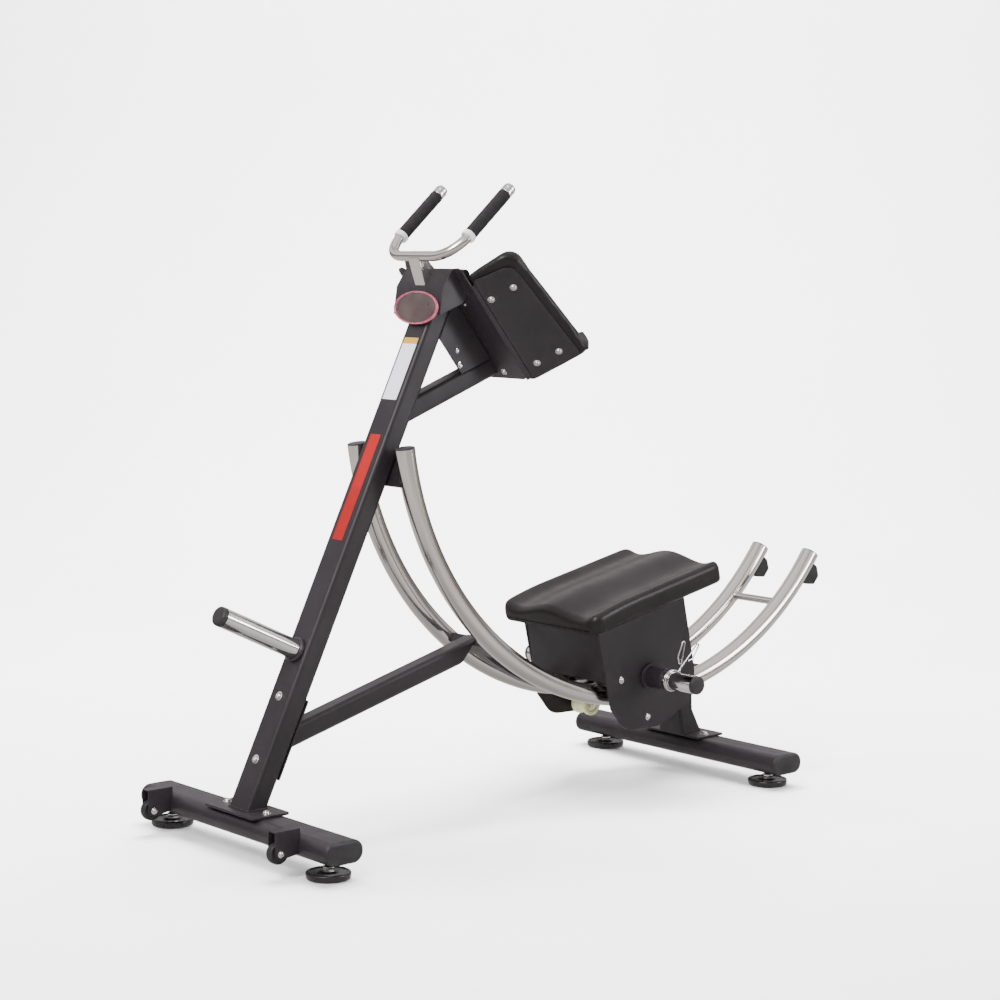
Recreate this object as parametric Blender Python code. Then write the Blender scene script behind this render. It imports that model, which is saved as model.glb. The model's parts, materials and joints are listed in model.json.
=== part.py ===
"""Ab crunch machine: a padded knee carriage that rolls on two curved rails.

Metres, +Z up.  The length runs along X: the leaning upright with its handles and
elbow pads is at the -X end, and the carriage swings up towards it from the bottom of
the rails.  The user kneels on the carriage facing -X, so their left side is -Y.
The origin is on the floor, under the middle of the machine.
"""
from math import acos, atan2, cos, pi, radians, sin, sqrt

import bmesh
import bpy
from mathutils import Vector

# ---------------------------------------------------------------- driving dimensions
GAP = 0.0003                    # clearance left between touching pieces
FRONT_LINE_X = -0.8701          # the front feet's line, seen from the origin
WHEELBASE = 1.446               # front feet to rear feet

BASE_WIDTH = 0.776              # across both end caps of a base tube
BASE_SECTION = (0.105, 0.054)   # base tube, along X and along Z
BASE_CORNER = 0.0262
BASE_WALL = 0.003
BASE_CAP = 0.012                # thickness of the visible part of an end cap
FRONT_BASE_Z = 0.069            # centre heights of the two base tubes
REAR_BASE_Z = 0.065
FOOT_RADIUS = 0.052
FRONT_FOOT_Y = 0.324
REAR_FOOT_Y = 0.315

LEAN = radians(25.6)            # upright's lean from vertical, towards +X
UPRIGHT_WIDTH = 0.082
UPRIGHT_DEPTH = 0.054
UPRIGHT_CORNER = 0.011
UPRIGHT_TOP_Z = 1.283
HEAD_HALF_WIDTH = 0.091
TUBE_WALL = 0.003
UPRIGHT_BASE_X = 0.0086         # centreline point of the upright, near the floor
UPRIGHT_BASE_Z = 0.113
BASE_PLATE = (0.104, 0.208, 0.006)

RAIL_RADIUS = 0.0245            # rail tube
RAIL_WALL = 0.0025
RAIL_HALF_GAUGE = 0.0951        # rail centrelines are this far from the middle
ARC_X = 1.197                   # centre of both rails' arc, also the carriage's hinge
ARC_Z = 1.045
ARC_RADIUS = 0.805
RAIL_FRONT_ANGLE = radians(-82.0)   # angles from straight down, + towards the rear
RAIL_REAR_ANGLE = radians(53.2)

STRUT = 0.050                   # both struts are square tubes of this side
STRUT_CORNER = 0.010
STRUT_PLATE_LENGTH = 0.200      # plate that bolts the lower strut to the upright
STRUT_PLATE_THICKNESS = 0.005
LOWER_STRUT_SLOPE = radians(15.3)
LOWER_STRUT_POINT = Vector((0.440, 0.0, 0.346))     # a point on its centre line
UPPER_STRUT_SLOPE = radians(21.1)
UPPER_STRUT_POINT = Vector((0.4870, 0.0, 1.0225))
LADDER_INNER_R = 0.793          # the black members between the rails, from the centre
LADDER_OUTER_R = 0.818
LADDER_SPINE_HALF_WIDTH = 0.020
MID_MEMBER_ANGLE = radians(-38.1)
REAR_MEMBER_ANGLE = radians(15.7)
MEMBER_SPREAD = radians(1.9)    # half of a cross member's length along the arc
CROSSBAR_ANGLE = radians(40.7)
CROSSBAR_RADIUS = 0.010
STOP_ANGLE = radians(49.7)

HANDLE_RADIUS = 0.0125
HANDLE_HALF_WIDTH = 0.1315
HANDLE_BEND = 0.070
HANDLE_LOW = Vector((0.5125, 0.0, 1.392))     # middle of the handlebar's cross run
HANDLE_SLOPE = radians(41.8)
GRIP_START = 0.079              # distances along a handle leg, from the cross run
GRIP_END = 0.226
HANDLE_END = 0.254
GRIP_RADIUS = 0.017
HANDLE_WALL = 0.0015

ELBOW_ALONG = Vector((0.658, -0.058, -0.751)).normalized()    # left pad, hand to elbow
ELBOW_INWARD = Vector((-0.470, 0.748, -0.469)).normalized()   # left pad, to the middle
ELBOW_POINT = Vector((0.6612, -0.1877, 1.3174))               # upper outer bolt
ELBOW_SHEET = 0.004
ELBOW_PAD_THICKNESS = 0.049
BRACKET_LEVEL = 1.270           # distance of the middle plate's underside from the origin
BRACKET_SLOPE = atan2(0.787, 0.617)
BRACKET_HALF_WIDTH = 0.124
SPINE_WIDTH = 0.070
SPINE_DEPTH = 0.050
GUSSET_DEPTH = 0.097            # the bolted gusset on the spine's left side
GUSSET_SHEET = 0.005

HORN_RADIUS = 0.024             # weight horns take plates with a 50 mm hole
STORAGE_HORN_LENGTH = 0.2445
STORAGE_HORN_Z = 0.4605
CARRIAGE_HORN_END = 0.328
CLIP_WIRE = 0.0021              # radius of the spring clips' wire
CLIP_START_Y = 0.2260
CLIP_PITCH = 0.0055
CLIP_TURNS = 1.81
CLIP_SLOPES = (radians(76.8), radians(43.1))      # the two handles, from horizontal
CLIP_LENGTHS = (0.105, 0.098)

CARRIAGE_ANGLE = radians(-2.0)  # middle of the carriage on the arc, at rest
SIDE_FACE_Y = 0.1460            # outer face of a carriage side plate
SIDE_SHEET = 0.005
ROLLER_FLANGE = 0.0295
ROLLER_HALF_LENGTH = 0.026
ROLLER_CLEARANCE = 0.0016
UPPER_ROLLER_R = 0.756          # roller axes, from the arc's centre
LOWER_ROLLER_R = 0.8545
ROLLER_SPREAD = radians(7.6)
PAD_TILT = radians(12.4)
PAD_FRONT = Vector((0.975, 0.0, 0.4386))      # underside of the pad near its front edge
PAD_LENGTH = 0.476
PAD_OVERHANG = 0.030
PAD_HALF_WIDTH = 0.186
PAD_LIP = 0.060                 # pad heights: outer lips, knee troughs, middle ridge
PAD_TROUGH = 0.048
PAD_RIDGE = 0.069

WHEEL_Y = 0.265
WHEEL_X = -0.098
WHEEL_Z = 0.0622
WHEEL_RADIUS = 0.0255
WHEEL_HALF_THICKNESS = 0.0105

ROUND_SIDES = 20
LEFT, RIGHT = -1, 1


# ---------------------------------------------------------------- scene and materials
def clear_scene():
    for old in list(bpy.data.objects):
        bpy.data.objects.remove(old)


def material(name, colour, roughness, metallic=0.0):
    made = bpy.data.materials.new(name)
    made.use_nodes = True
    shader = made.node_tree.nodes["Principled BSDF"]
    shader.inputs["Base Color"].default_value = (*colour, 1.0)
    shader.inputs["Roughness"].default_value = roughness
    shader.inputs["Metallic"].default_value = metallic
    return made


clear_scene()
BLACK_PAINT = material("black_paint", (0.045, 0.040, 0.044), 0.45)
BLACK_VINYL = material("black_vinyl", (0.030, 0.028, 0.028), 0.50)
BLACK_PLASTIC = material("black_plastic", (0.025, 0.024, 0.026), 0.50)
BLACK_RUBBER = material("black_rubber", (0.020, 0.020, 0.020), 0.70)
FOAM_GRIP = material("foam_grip", (0.035, 0.032, 0.034), 0.85)
STAINLESS = material("stainless", (0.72, 0.68, 0.65), 0.28, 1.0)
CHROME = material("chrome", (0.85, 0.84, 0.83), 0.10, 1.0)
ROLLER_PLASTIC = material("roller_plastic", (0.62, 0.62, 0.42), 0.40)


# ---------------------------------------------------------------- placing
def empty(name, position, parent=None):
    made = bpy.data.objects.new(name, None)
    made.location = position
    made.parent = parent
    bpy.context.scene.collection.objects.link(made)
    return made


MACHINE = empty("machine", (FRONT_LINE_X, 0.0, 0.0))


def pivot(name, position):
    """An empty on a joint's axis, placed from the front feet's line."""
    return empty(name, position, MACHINE)


def add_object(name, mesh_builder, finish, parent=None, smooth=True):
    """Turn a filled bmesh, drawn from the front feet's line, into a named object."""
    bmesh.ops.recalc_face_normals(mesh_builder, faces=mesh_builder.faces)
    mesh = bpy.data.meshes.new(name)
    mesh_builder.to_mesh(mesh)
    mesh_builder.free()
    mesh.materials.append(finish)
    if smooth:
        mesh.shade_smooth()
        mesh.set_sharp_from_angle(angle=radians(35))
    made = bpy.data.objects.new(name, mesh)
    bpy.context.scene.collection.objects.link(made)
    made.parent = parent or MACHINE
    if parent:
        made.location = -parent.location
    return made


def cut(target, cutter):
    """Take the cutter's shape out of the target and hide the cutter."""
    step = target.modifiers.new("cut", "BOOLEAN")
    step.operation = "DIFFERENCE"
    step.solver = "EXACT"
    step.object = cutter
    cutter.hide_render = True
    cutter.display_type = "WIRE"


def join(target, other):
    """Weld another shape onto the target; the other shape becomes a hidden guide."""
    step = target.modifiers.new("weld", "BOOLEAN")
    step.operation = "UNION"
    step.solver = "EXACT"
    step.object = other
    other.hide_render = True
    other.display_type = "WIRE"


def side_name(side):
    return "left" if side == LEFT else "right"


# ---------------------------------------------------------------- outlines
def rounded_rectangle(width, height, radius, steps=4):
    """Closed outline, counter-clockwise, with each corner an arc of some steps."""
    points = []
    for corner, start in (((1, 1), 0), ((-1, 1), 90), ((-1, -1), 180), ((1, -1), 270)):
        centre = (corner[0] * (width / 2 - radius), corner[1] * (height / 2 - radius))
        for step in range(steps + 1):
            angle = radians(start + 90 * step / steps)
            points.append((centre[0] + radius * cos(angle), centre[1] + radius * sin(angle)))
    return points


def circle(radius, sides=ROUND_SIDES):
    return [(radius * cos(2 * pi * i / sides), radius * sin(2 * pi * i / sides))
            for i in range(sides)]


def rounded_polygon(corners, radii, steps=5):
    """Closed outline through the corners, each rounded by its own radius."""
    points = []
    count = len(corners)
    for i, radius in enumerate(radii):
        here = Vector(corners[i])
        before = (Vector(corners[i - 1]) - here).normalized()
        after = (Vector(corners[(i + 1) % count]) - here).normalized()
        if radius == 0:
            points.append(tuple(here))
            continue
        half = acos(max(-1.0, min(1.0, before.dot(after)))) / 2
        reach = radius / sin(half) * cos(half)
        centre = here + (before + after).normalized() * (radius / sin(half))
        start = here + before * reach - centre
        turn = pi - 2 * half
        if before.x * after.y - before.y * after.x > 0:
            turn = -turn
        for step in range(steps + 1):
            angle = turn * step / steps
            points.append((centre.x + start.x * cos(angle) - start.y * sin(angle),
                           centre.y + start.x * sin(angle) + start.y * cos(angle)))
    return points


# ---------------------------------------------------------------- solids
def bridge(builder, first, second):
    count = len(first)
    for i in range(count):
        j = (i + 1) % count
        builder.faces.new((first[i], first[j], second[j], second[i]))


def loft(rings, bores=None):
    """A solid through closed rings; with bores, a tube whose hole follows them."""
    builder = bmesh.new()
    outer = [[builder.verts.new(p) for p in ring] for ring in rings]
    for first, second in zip(outer, outer[1:]):
        bridge(builder, first, second)
    if bores is None:
        builder.faces.new(outer[0])
        builder.faces.new(outer[-1])
        return builder
    inner = [[builder.verts.new(p) for p in ring] for ring in bores]
    for first, second in zip(inner, inner[1:]):
        bridge(builder, first, second)
    bridge(builder, outer[0], inner[0])
    bridge(builder, outer[-1], inner[-1])
    return builder


def frame_at(origin, along, across):
    """Origin and the two unit directions of a section, square to `along`."""
    forward = Vector(along).normalized()
    u = (Vector(across) - forward * forward.dot(Vector(across))).normalized()
    return Vector(origin), u, forward.cross(u), forward


def ring_at(section, place):
    origin, u, v, _ = place
    return [origin + u * a + v * b for a, b in section]


def ring_on_plane(section, place, plane_point, plane_normal):
    """A section slid along its own direction until every point meets a plane."""
    _, _, _, forward = place
    normal = Vector(plane_normal)
    ring = []
    for point in ring_at(section, place):
        travel = (Vector(plane_point) - point).dot(normal) / forward.dot(normal)
        ring.append(point + forward * travel)
    return ring


def straight_tube(section, bore, start_plane, end_plane, place):
    """A tube between two planes, each given as (point, normal)."""
    rings = [ring_on_plane(section, place, *plane) for plane in (start_plane, end_plane)]
    bores = [ring_on_plane(bore, place, *plane) for plane in (start_plane, end_plane)]
    return loft(rings, bores)


def turned(profile, origin, axis, sides=ROUND_SIDES):
    """A solid of revolution; the profile lists (radius, distance along the axis)."""
    across = (1, 0, 0) if abs(Vector(axis).normalized().x) < 0.9 else (0, 0, 1)
    place = frame_at(origin, axis, across)
    rings = []
    for radius, distance in profile:
        centre = (place[0] + place[3] * distance, *place[1:])
        rings.append(ring_at(circle(radius, sides), centre))
    return loft(rings)


def turned_ring(profile, origin, axis, sides=ROUND_SIDES):
    """A ring of revolution about the axis from a closed profile clear of it."""
    place = frame_at(origin, axis, (1, 0, 0) if abs(Vector(axis).normalized().x) < 0.9
                     else (0, 0, 1))
    builder = bmesh.new()
    loops = []
    for radius, distance in profile:
        centre = (place[0] + place[3] * distance, *place[1:])
        loops.append([builder.verts.new(p) for p in ring_at(circle(radius, sides), centre)])
    for first, second in zip(loops, loops[1:] + loops[:1]):
        bridge(builder, first, second)
    return builder


def slab(outline, low, high, to_space):
    """A flat plate: the 2-D outline, from one level to another, placed by a function."""
    return loft([[to_space(a, b, level) for a, b in outline] for level in (low, high)])


def standing(x, z, y):
    """Side-view coordinates: an outline in X and Z, thickness along Y."""
    return Vector((x, y, z))


# ---------------------------------------------------------------- geometry of the layout
UP_ALONG = Vector((sin(LEAN), 0.0, cos(LEAN)))       # up the upright
UP_BACK = Vector((cos(LEAN), 0.0, -sin(LEAN)))       # out of the upright's rear face
UPRIGHT_POINT = Vector((UPRIGHT_BASE_X, 0.0, UPRIGHT_BASE_Z))
REAR_FACE = UPRIGHT_POINT + UP_BACK * (UPRIGHT_DEPTH / 2)
FRONT_FACE = UPRIGHT_POINT - UP_BACK * (UPRIGHT_DEPTH / 2)
BRACKET_NORMAL = Vector((sin(BRACKET_SLOPE), 0.0, cos(BRACKET_SLOPE)))
BRACKET_ALONG = Vector((cos(BRACKET_SLOPE), 0.0, -sin(BRACKET_SLOPE)))
BRACKET_POINT = BRACKET_NORMAL * BRACKET_LEVEL
FLOOR_UP = Vector((0.0, 0.0, 1.0))
ACROSS = Vector((0.0, 1.0, 0.0))


def on_arc(angle, radius, y=0.0):
    """A point at an angle and a radius from the rails' arc centre."""
    return Vector((ARC_X + radius * sin(angle), y, ARC_Z - radius * cos(angle)))


def arc_tangent(angle):
    return Vector((cos(angle), 0.0, sin(angle)))


def on_line_at_height(point, direction, z):
    return point + direction * ((z - point.z) / direction.z)


# ---------------------------------------------------------------- base
def base_tube(name, x, z):
    half = BASE_WIDTH / 2 - BASE_CAP
    section = rounded_rectangle(*BASE_SECTION, BASE_CORNER, 5)
    bore_size = [side - 2 * BASE_WALL for side in BASE_SECTION]
    bore = rounded_rectangle(*bore_size, BASE_CORNER - BASE_WALL, 5)
    place = frame_at((x, 0, z), ACROSS, (1, 0, 0))
    ends = [((0, side * half, 0), ACROSS) for side in (LEFT, RIGHT)]
    add_object(name, straight_tube(section, bore, *ends, place), BLACK_PAINT)


def base_cap(name, x, z, side):
    """A moulded cap: a plug inside the tube and a rounded face over its end."""
    plug_play = 0.0006
    plug_length = 0.020
    face_round = 0.004
    tube_end = BASE_WIDTH / 2 - BASE_CAP + GAP
    plug_size = [length - 2 * (BASE_WALL + plug_play) for length in BASE_SECTION]
    plug = rounded_rectangle(*plug_size, BASE_CORNER - BASE_WALL - plug_play, 5)
    face = rounded_rectangle(*BASE_SECTION, BASE_CORNER, 5)
    end_size = [length - 2 * face_round for length in BASE_SECTION]
    end = rounded_rectangle(*end_size, BASE_CORNER - face_round, 5)
    levels = ((plug, tube_end - plug_length), (plug, tube_end), (face, tube_end),
              (face, BASE_WIDTH / 2 - face_round), (end, BASE_WIDTH / 2))
    rings = []
    for section, y in levels:
        rings.append([Vector((x + a, side * y, z + b)) for a, b in section])
    add_object(name, loft(rings), BLACK_PLASTIC)


def foot(name, x, y, tube_z, pivot_name):
    """A levelling foot: a rubber disc, its lock nut and the threaded stem."""
    stem_top = tube_z - BASE_SECTION[1] / 2 - GAP
    profile = ((0.048, 0.0), (FOOT_RADIUS, 0.003), (FOOT_RADIUS, 0.012), (0.047, 0.0165),
               (0.020, 0.0185), (0.0125, 0.0185), (0.0125, 0.028), (0.011, 0.028),
               (0.011, stem_top))
    parent = pivot(pivot_name, (x, y, 0.0))
    add_object(name, turned(profile, (x, y, 0.0), FLOOR_UP), BLACK_RUBBER, parent)


def base_assembly():
    base_tube("front_base_tube", 0.0, FRONT_BASE_Z)
    base_tube("rear_base_tube", WHEELBASE, REAR_BASE_Z)
    for side in (LEFT, RIGHT):
        word = side_name(side)
        base_cap(f"front_base_cap_{word}", 0.0, FRONT_BASE_Z, side)
        base_cap(f"rear_base_cap_{word}", WHEELBASE, REAR_BASE_Z, side)
        foot(f"foot_front_{word}", 0.0, side * FRONT_FOOT_Y, FRONT_BASE_Z,
             f"foot_front_{word}_axis")
        foot(f"foot_rear_{word}", WHEELBASE, side * REAR_FOOT_Y, REAR_BASE_Z,
             f"foot_rear_{word}_axis")


def transport_wheel(side):
    """A small wheel between the two cheeks of a bracket on the front base tube."""
    word = side_name(side)
    back_x, front_x = -0.045, -0.1135
    top_z, bottom_z, sheet = 0.1135, 0.0557, 0.003
    outer_half, nose_z = 0.0147, 0.050
    y = side * WHEEL_Y
    cheek = rounded_polygon([(front_x, top_z), (front_x, nose_z), (-0.083, nose_z),
                             (back_x, bottom_z), (back_x, top_z)], [0, 0.014, 0.010, 0, 0])
    bracket = add_object(f"wheel_bracket_{word}",
                         slab(cheek, y - outer_half, y + outer_half, standing), BLACK_PAINT)
    inside = [(front_x - 0.05, nose_z - 0.02), (back_x - sheet, nose_z - 0.02),
              (back_x - sheet, top_z - sheet), (front_x - 0.05, top_z - sheet)]
    half = outer_half - sheet
    cut(bracket, add_object(f"wheel_bracket_{word}_inside",
                            slab(inside, y - half, y + half, standing), BLACK_PAINT))
    grown = [side_length + 2 * GAP for side_length in BASE_SECTION]
    tube = rounded_rectangle(*grown, BASE_CORNER + GAP, 5)
    cut(bracket, add_object(f"wheel_bracket_{word}_seat",
                            slab(tube, y - 0.02, y + 0.02,
                                 lambda a, b, c: Vector((a, c, FRONT_BASE_Z + b))),
                            BLACK_PAINT))
    half, round_off = WHEEL_HALF_THICKNESS, 0.003
    tyre = ((WHEEL_RADIUS - round_off, -half), (WHEEL_RADIUS, round_off - half),
            (WHEEL_RADIUS, half - round_off), (WHEEL_RADIUS - round_off, half))
    centre = (WHEEL_X, y, WHEEL_Z)
    parent = pivot(f"transport_wheel_{word}_axis", centre)
    add_object(f"transport_wheel_{word}", turned(tyre, centre, ACROSS), BLACK_RUBBER, parent)


# ---------------------------------------------------------------- upright and head
def upright():
    plate_x, plate_y, plate_t = BASE_PLATE
    tube_top = FRONT_BASE_Z + BASE_SECTION[1] / 2
    outline = rounded_rectangle(plate_x, plate_y, 0.008, 3)
    low = tube_top + GAP
    add_object("upright_base_plate",
               slab(outline, low, low + plate_t, lambda a, b, c: Vector((a, b, c))),
               BLACK_PAINT)
    section = rounded_rectangle(UPRIGHT_WIDTH, UPRIGHT_DEPTH, UPRIGHT_CORNER)
    bore = rounded_rectangle(UPRIGHT_WIDTH - 2 * TUBE_WALL, UPRIGHT_DEPTH - 2 * TUBE_WALL,
                             UPRIGHT_CORNER - TUBE_WALL)
    place = frame_at(UPRIGHT_POINT, UP_ALONG, ACROSS)
    bottom = ((0, 0, low + plate_t + GAP), FLOOR_UP)
    top = ((0, 0, UPRIGHT_TOP_Z), FLOOR_UP)
    add_object("upright", straight_tube(section, bore, bottom, top, place), BLACK_PAINT)


def head_housing():
    """A folded cap over the upright's top, open underneath."""
    half_width, sheet = HEAD_HALF_WIDTH, 0.003
    outer = [(0.510, 1.250), (0.520, 1.318), (0.551, 1.3625), (0.596, 1.360), (0.604, 1.352),
             (0.604, 1.298), (0.583, 1.278)]
    housing = add_object("head_housing",
                         slab(outer, -half_width, half_width, standing), BLACK_PAINT)
    inner = [(0.5118, 1.240), (0.5229, 1.3170), (0.5525, 1.3595), (0.6005, 1.3565),
             (0.6005, 1.240)]
    inner_half = half_width - sheet
    cut(housing, add_object("head_housing_inside",
                            slab(inner, -inner_half, inner_half, standing), BLACK_PAINT))


def handle_path(side_count=7):
    """Points and directions along the handlebar's centre line, from left to right."""
    rise = Vector((cos(HANDLE_SLOPE), 0.0, sin(HANDLE_SLOPE)))
    stations = [(-HANDLE_HALF_WIDTH, GRIP_END, 90.0), (-HANDLE_HALF_WIDTH, HANDLE_BEND, 90.0)]
    inner = HANDLE_HALF_WIDTH - HANDLE_BEND
    for step in range(1, side_count + 1):
        turn = 90.0 * step / side_count
        stations.append((-inner - HANDLE_BEND * cos(radians(turn)),
                         HANDLE_BEND - HANDLE_BEND * sin(radians(turn)), 90.0 - turn))
    mirrored = [(-y, v, -turn) for y, v, turn in reversed(stations)]
    places = []
    for y, v, turn in stations + mirrored:
        point = HANDLE_LOW + ACROSS * y + rise * v
        along = ACROSS * cos(radians(turn)) - rise * sin(radians(turn))
        places.append((point, along))
    return places, rise


def handlebar():
    places, rise = handle_path()
    normal = ACROSS.cross(rise)
    outer = circle(HANDLE_RADIUS, 16)
    bore = circle(HANDLE_RADIUS - HANDLE_WALL, 16)
    frames = [frame_at(point, along, normal) for point, along in places]
    add_object("handlebar", loft([ring_at(outer, f) for f in frames],
                                 [ring_at(bore, f) for f in frames]), STAINLESS)
    for side in (LEFT, RIGHT):
        word = side_name(side)
        foot_point = HANDLE_LOW + ACROSS * (side * HANDLE_HALF_WIDTH)
        inner = HANDLE_RADIUS + GAP
        grip = ((inner, GRIP_START), (GRIP_RADIUS, GRIP_START), (GRIP_RADIUS, GRIP_END),
                (inner, GRIP_END))
        add_object(f"handle_grip_{word}", turned_ring(grip, foot_point, rise, 18), FOAM_GRIP)
        cap = ((0.016, GRIP_END + GAP), (0.016, HANDLE_END - 0.005), (0.012, HANDLE_END - 0.001),
               (0.006, HANDLE_END))
        add_object(f"handle_end_cap_{word}", turned(cap, foot_point, rise, 18), CHROME)


def handle_stem():
    """The flat tube that carries the handlebar on the head's sloping face."""
    facet_low = Vector((0.520, 0.0, 1.318))
    facet_high = Vector((0.551, 0.0, 1.3625))
    foot_point = facet_low + (facet_high - facet_low) * 0.40
    along = (HANDLE_LOW - foot_point).normalized()
    section = rounded_rectangle(0.040, 0.030, 0.003, 2)
    bore = rounded_rectangle(0.036, 0.026, 0.001, 2)
    place = frame_at(foot_point, along, ACROSS)
    face_normal = Vector((-0.0445, 0.0, 0.031)).normalized()
    facet = (foot_point + face_normal * GAP * 2, face_normal)
    top = (HANDLE_LOW, along)
    stem = add_object("handle_stem", straight_tube(section, bore, facet, top, place), STAINLESS)
    bar = turned(((HANDLE_RADIUS + GAP, -0.05), (HANDLE_RADIUS + GAP, 0.05)), HANDLE_LOW,
                 ACROSS, 32)
    cut(stem, add_object("handle_stem_saddle", bar, STAINLESS))


# ---------------------------------------------------------------- elbow rest
def strut_direction(angle):
    return Vector((cos(angle), 0.0, sin(angle)))


def strut_tube(name, point, slope, start_plane, end_plane):
    along = strut_direction(slope)
    section = rounded_rectangle(STRUT, STRUT, STRUT_CORNER)
    bore_side = STRUT - 2 * TUBE_WALL
    bore = rounded_rectangle(bore_side, bore_side, STRUT_CORNER - TUBE_WALL)
    place = frame_at(point, along, ACROSS)
    return add_object(name, straight_tube(section, bore, start_plane, end_plane, place),
                      BLACK_PAINT)


def upper_strut():
    start = (REAR_FACE + UP_BACK * GAP, UP_BACK)
    end = (BRACKET_POINT - BRACKET_NORMAL * GAP, BRACKET_NORMAL)
    strut_tube("upper_strut", UPPER_STRUT_POINT, UPPER_STRUT_SLOPE, start, end)


def elbow_spine():
    """The box section under the elbow plates, from the upright to the upper strut."""
    section = rounded_rectangle(SPINE_WIDTH, SPINE_DEPTH - GAP, 0.004, 2)
    bore = rounded_rectangle(SPINE_WIDTH - 2 * TUBE_WALL, SPINE_DEPTH - GAP - 2 * TUBE_WALL,
                             0.001, 2)
    middle = BRACKET_POINT - BRACKET_NORMAL * (SPINE_DEPTH / 2 + GAP)
    place = frame_at(middle, BRACKET_ALONG, ACROSS)
    start = (REAR_FACE + UP_BACK * GAP, UP_BACK)
    strut_up = Vector((-sin(UPPER_STRUT_SLOPE), 0.0, cos(UPPER_STRUT_SLOPE)))
    end = (UPPER_STRUT_POINT + strut_up * (STRUT / 2 + GAP), strut_up)
    spine = add_object("elbow_spine", straight_tube(section, bore, start, end, place),
                       BLACK_PAINT)
    lap = 0.006
    depth = GUSSET_DEPTH - SPINE_DEPTH + lap
    outer, inner = SPINE_WIDTH / 2, SPINE_WIDTH / 2 - GUSSET_SHEET
    gusset = [(-depth, outer), (0.0, outer), (0.0, inner), (-depth, inner)]
    under = frame_at(BRACKET_POINT - BRACKET_NORMAL * (SPINE_DEPTH - lap), BRACKET_ALONG,
                     BRACKET_NORMAL)
    rings = [ring_on_plane(gusset, under, *plane) for plane in (start, end)]
    join(spine, add_object("elbow_spine_gusset", loft(rings), BLACK_PAINT))


def elbow_bracket():
    """The flat sheet that carries both elbow plates, notched round the head."""
    top, bottom, notch = -0.7345, -0.3865, -0.6410
    notch_half = HEAD_HALF_WIDTH + 0.0025
    half = BRACKET_HALF_WIDTH
    corners = [(-half, top), (-notch_half, top), (-notch_half, notch), (notch_half, notch),
               (notch_half, top), (half, top), (half, bottom), (-half, bottom)]
    outline = rounded_polygon(corners, [0.013, 0.013, 0, 0, 0.013, 0.013, 0.012, 0.012])
    add_object("elbow_bracket",
               slab(outline, 0.0, ELBOW_SHEET,
                    lambda a, b, c: BRACKET_POINT + ACROSS * a
                    + BRACKET_ALONG * (b - BRACKET_POINT.dot(BRACKET_ALONG))
                    + BRACKET_NORMAL * c),
               BLACK_PAINT)


def elbow_place(side):
    """A function from pad coordinates (along, inward, outward of the sheet) to space."""
    normal = ELBOW_ALONG.cross(ELBOW_INWARD).normalized()

    def to_space(along, inward, level):
        point = ELBOW_POINT + ELBOW_ALONG * along + ELBOW_INWARD * inward + normal * level
        return Vector((point.x, point.y * -side, point.z))

    return to_space


def elbow_outline(grow, hand_end=0.072):
    """The elbow pad's outline, wider at the elbow end, grown evenly all round."""
    corners = [(-hand_end - grow, 0.079 + grow), (-hand_end - grow, -0.026 - grow),
               (0.243 + grow, -0.041 - grow), (0.243 + grow, 0.099 + grow)]
    return rounded_polygon(corners, [0.008, 0.034, 0.010, 0.010])


def elbow_plate_and_pad(side):
    word = side_name(side)
    place = elbow_place(side)
    corners = [(-0.066, 0.0755), (-0.054, -0.0295), (0.243, -0.0415), (0.243, 0.0955)]
    plate = rounded_polygon(corners, [0.008, 0.030, 0.010, 0.010])
    add_object(f"elbow_plate_{word}", slab(plate, 0.0, ELBOW_SHEET, place), BLACK_PAINT)
    low = ELBOW_SHEET + GAP
    high = low + ELBOW_PAD_THICKNESS
    levels = ((elbow_outline(0.008), low), (elbow_outline(0.011, 0.067), low + 0.006),
              (elbow_outline(0.011, 0.051), high - 0.014),
              (elbow_outline(0.006, 0.048), high - 0.004), (elbow_outline(0.0, 0.046), high))
    rings = [[place(a, b, level) for a, b in outline] for outline, level in levels]
    pad = add_object(f"elbow_pad_{word}", loft(rings), BLACK_VINYL)
    lip = rounded_polygon([(0.218, high - 0.02), (0.254, high - 0.02), (0.254, high + 0.018),
                           (0.224, high + 0.018)], [0, 0, 0.008, 0.008], 3)
    lip_rings = [[place(a, b, c) for a, c in lip] for b in (-0.047, 0.104)]
    join(pad, add_object(f"elbow_pad_{word}_lip", loft(lip_rings), BLACK_VINYL))


# ---------------------------------------------------------------- rails and lower frame
def arc_stations(first, last, count):
    return [first + (last - first) * i / count for i in range(count + 1)]


def rail_rings(radius, y, first, last, count, sides):
    section = circle(radius, sides)
    rings = []
    for angle in arc_stations(first, last, count):
        place = frame_at(on_arc(angle, ARC_RADIUS, y), arc_tangent(angle), ACROSS)
        rings.append(ring_at(section, place))
    return rings


def rail(side):
    word = side_name(side)
    y = side * RAIL_HALF_GAUGE
    limits = (RAIL_FRONT_ANGLE, RAIL_REAR_ANGLE, 30, 16)
    add_object(f"rail_{word}", loft(rail_rings(RAIL_RADIUS, y, *limits),
                                    rail_rings(RAIL_RADIUS - RAIL_WALL, y, *limits)), STAINLESS)
    face, plug = 0.003, 0.015
    plug_radius = RAIL_RADIUS - RAIL_WALL - 0.0012
    profile = ((plug_radius, -plug), (plug_radius, GAP), (RAIL_RADIUS, GAP),
               (RAIL_RADIUS, face), (RAIL_RADIUS - 0.002, face + 0.001))
    for end, angle, outward in (("front", RAIL_FRONT_ANGLE, -1), ("rear", RAIL_REAR_ANGLE, 1)):
        add_object(f"rail_{end}_cap_{word}",
                   turned(profile, on_arc(angle, ARC_RADIUS, y), arc_tangent(angle) * outward, 16),
                   BLACK_PLASTIC)


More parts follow.
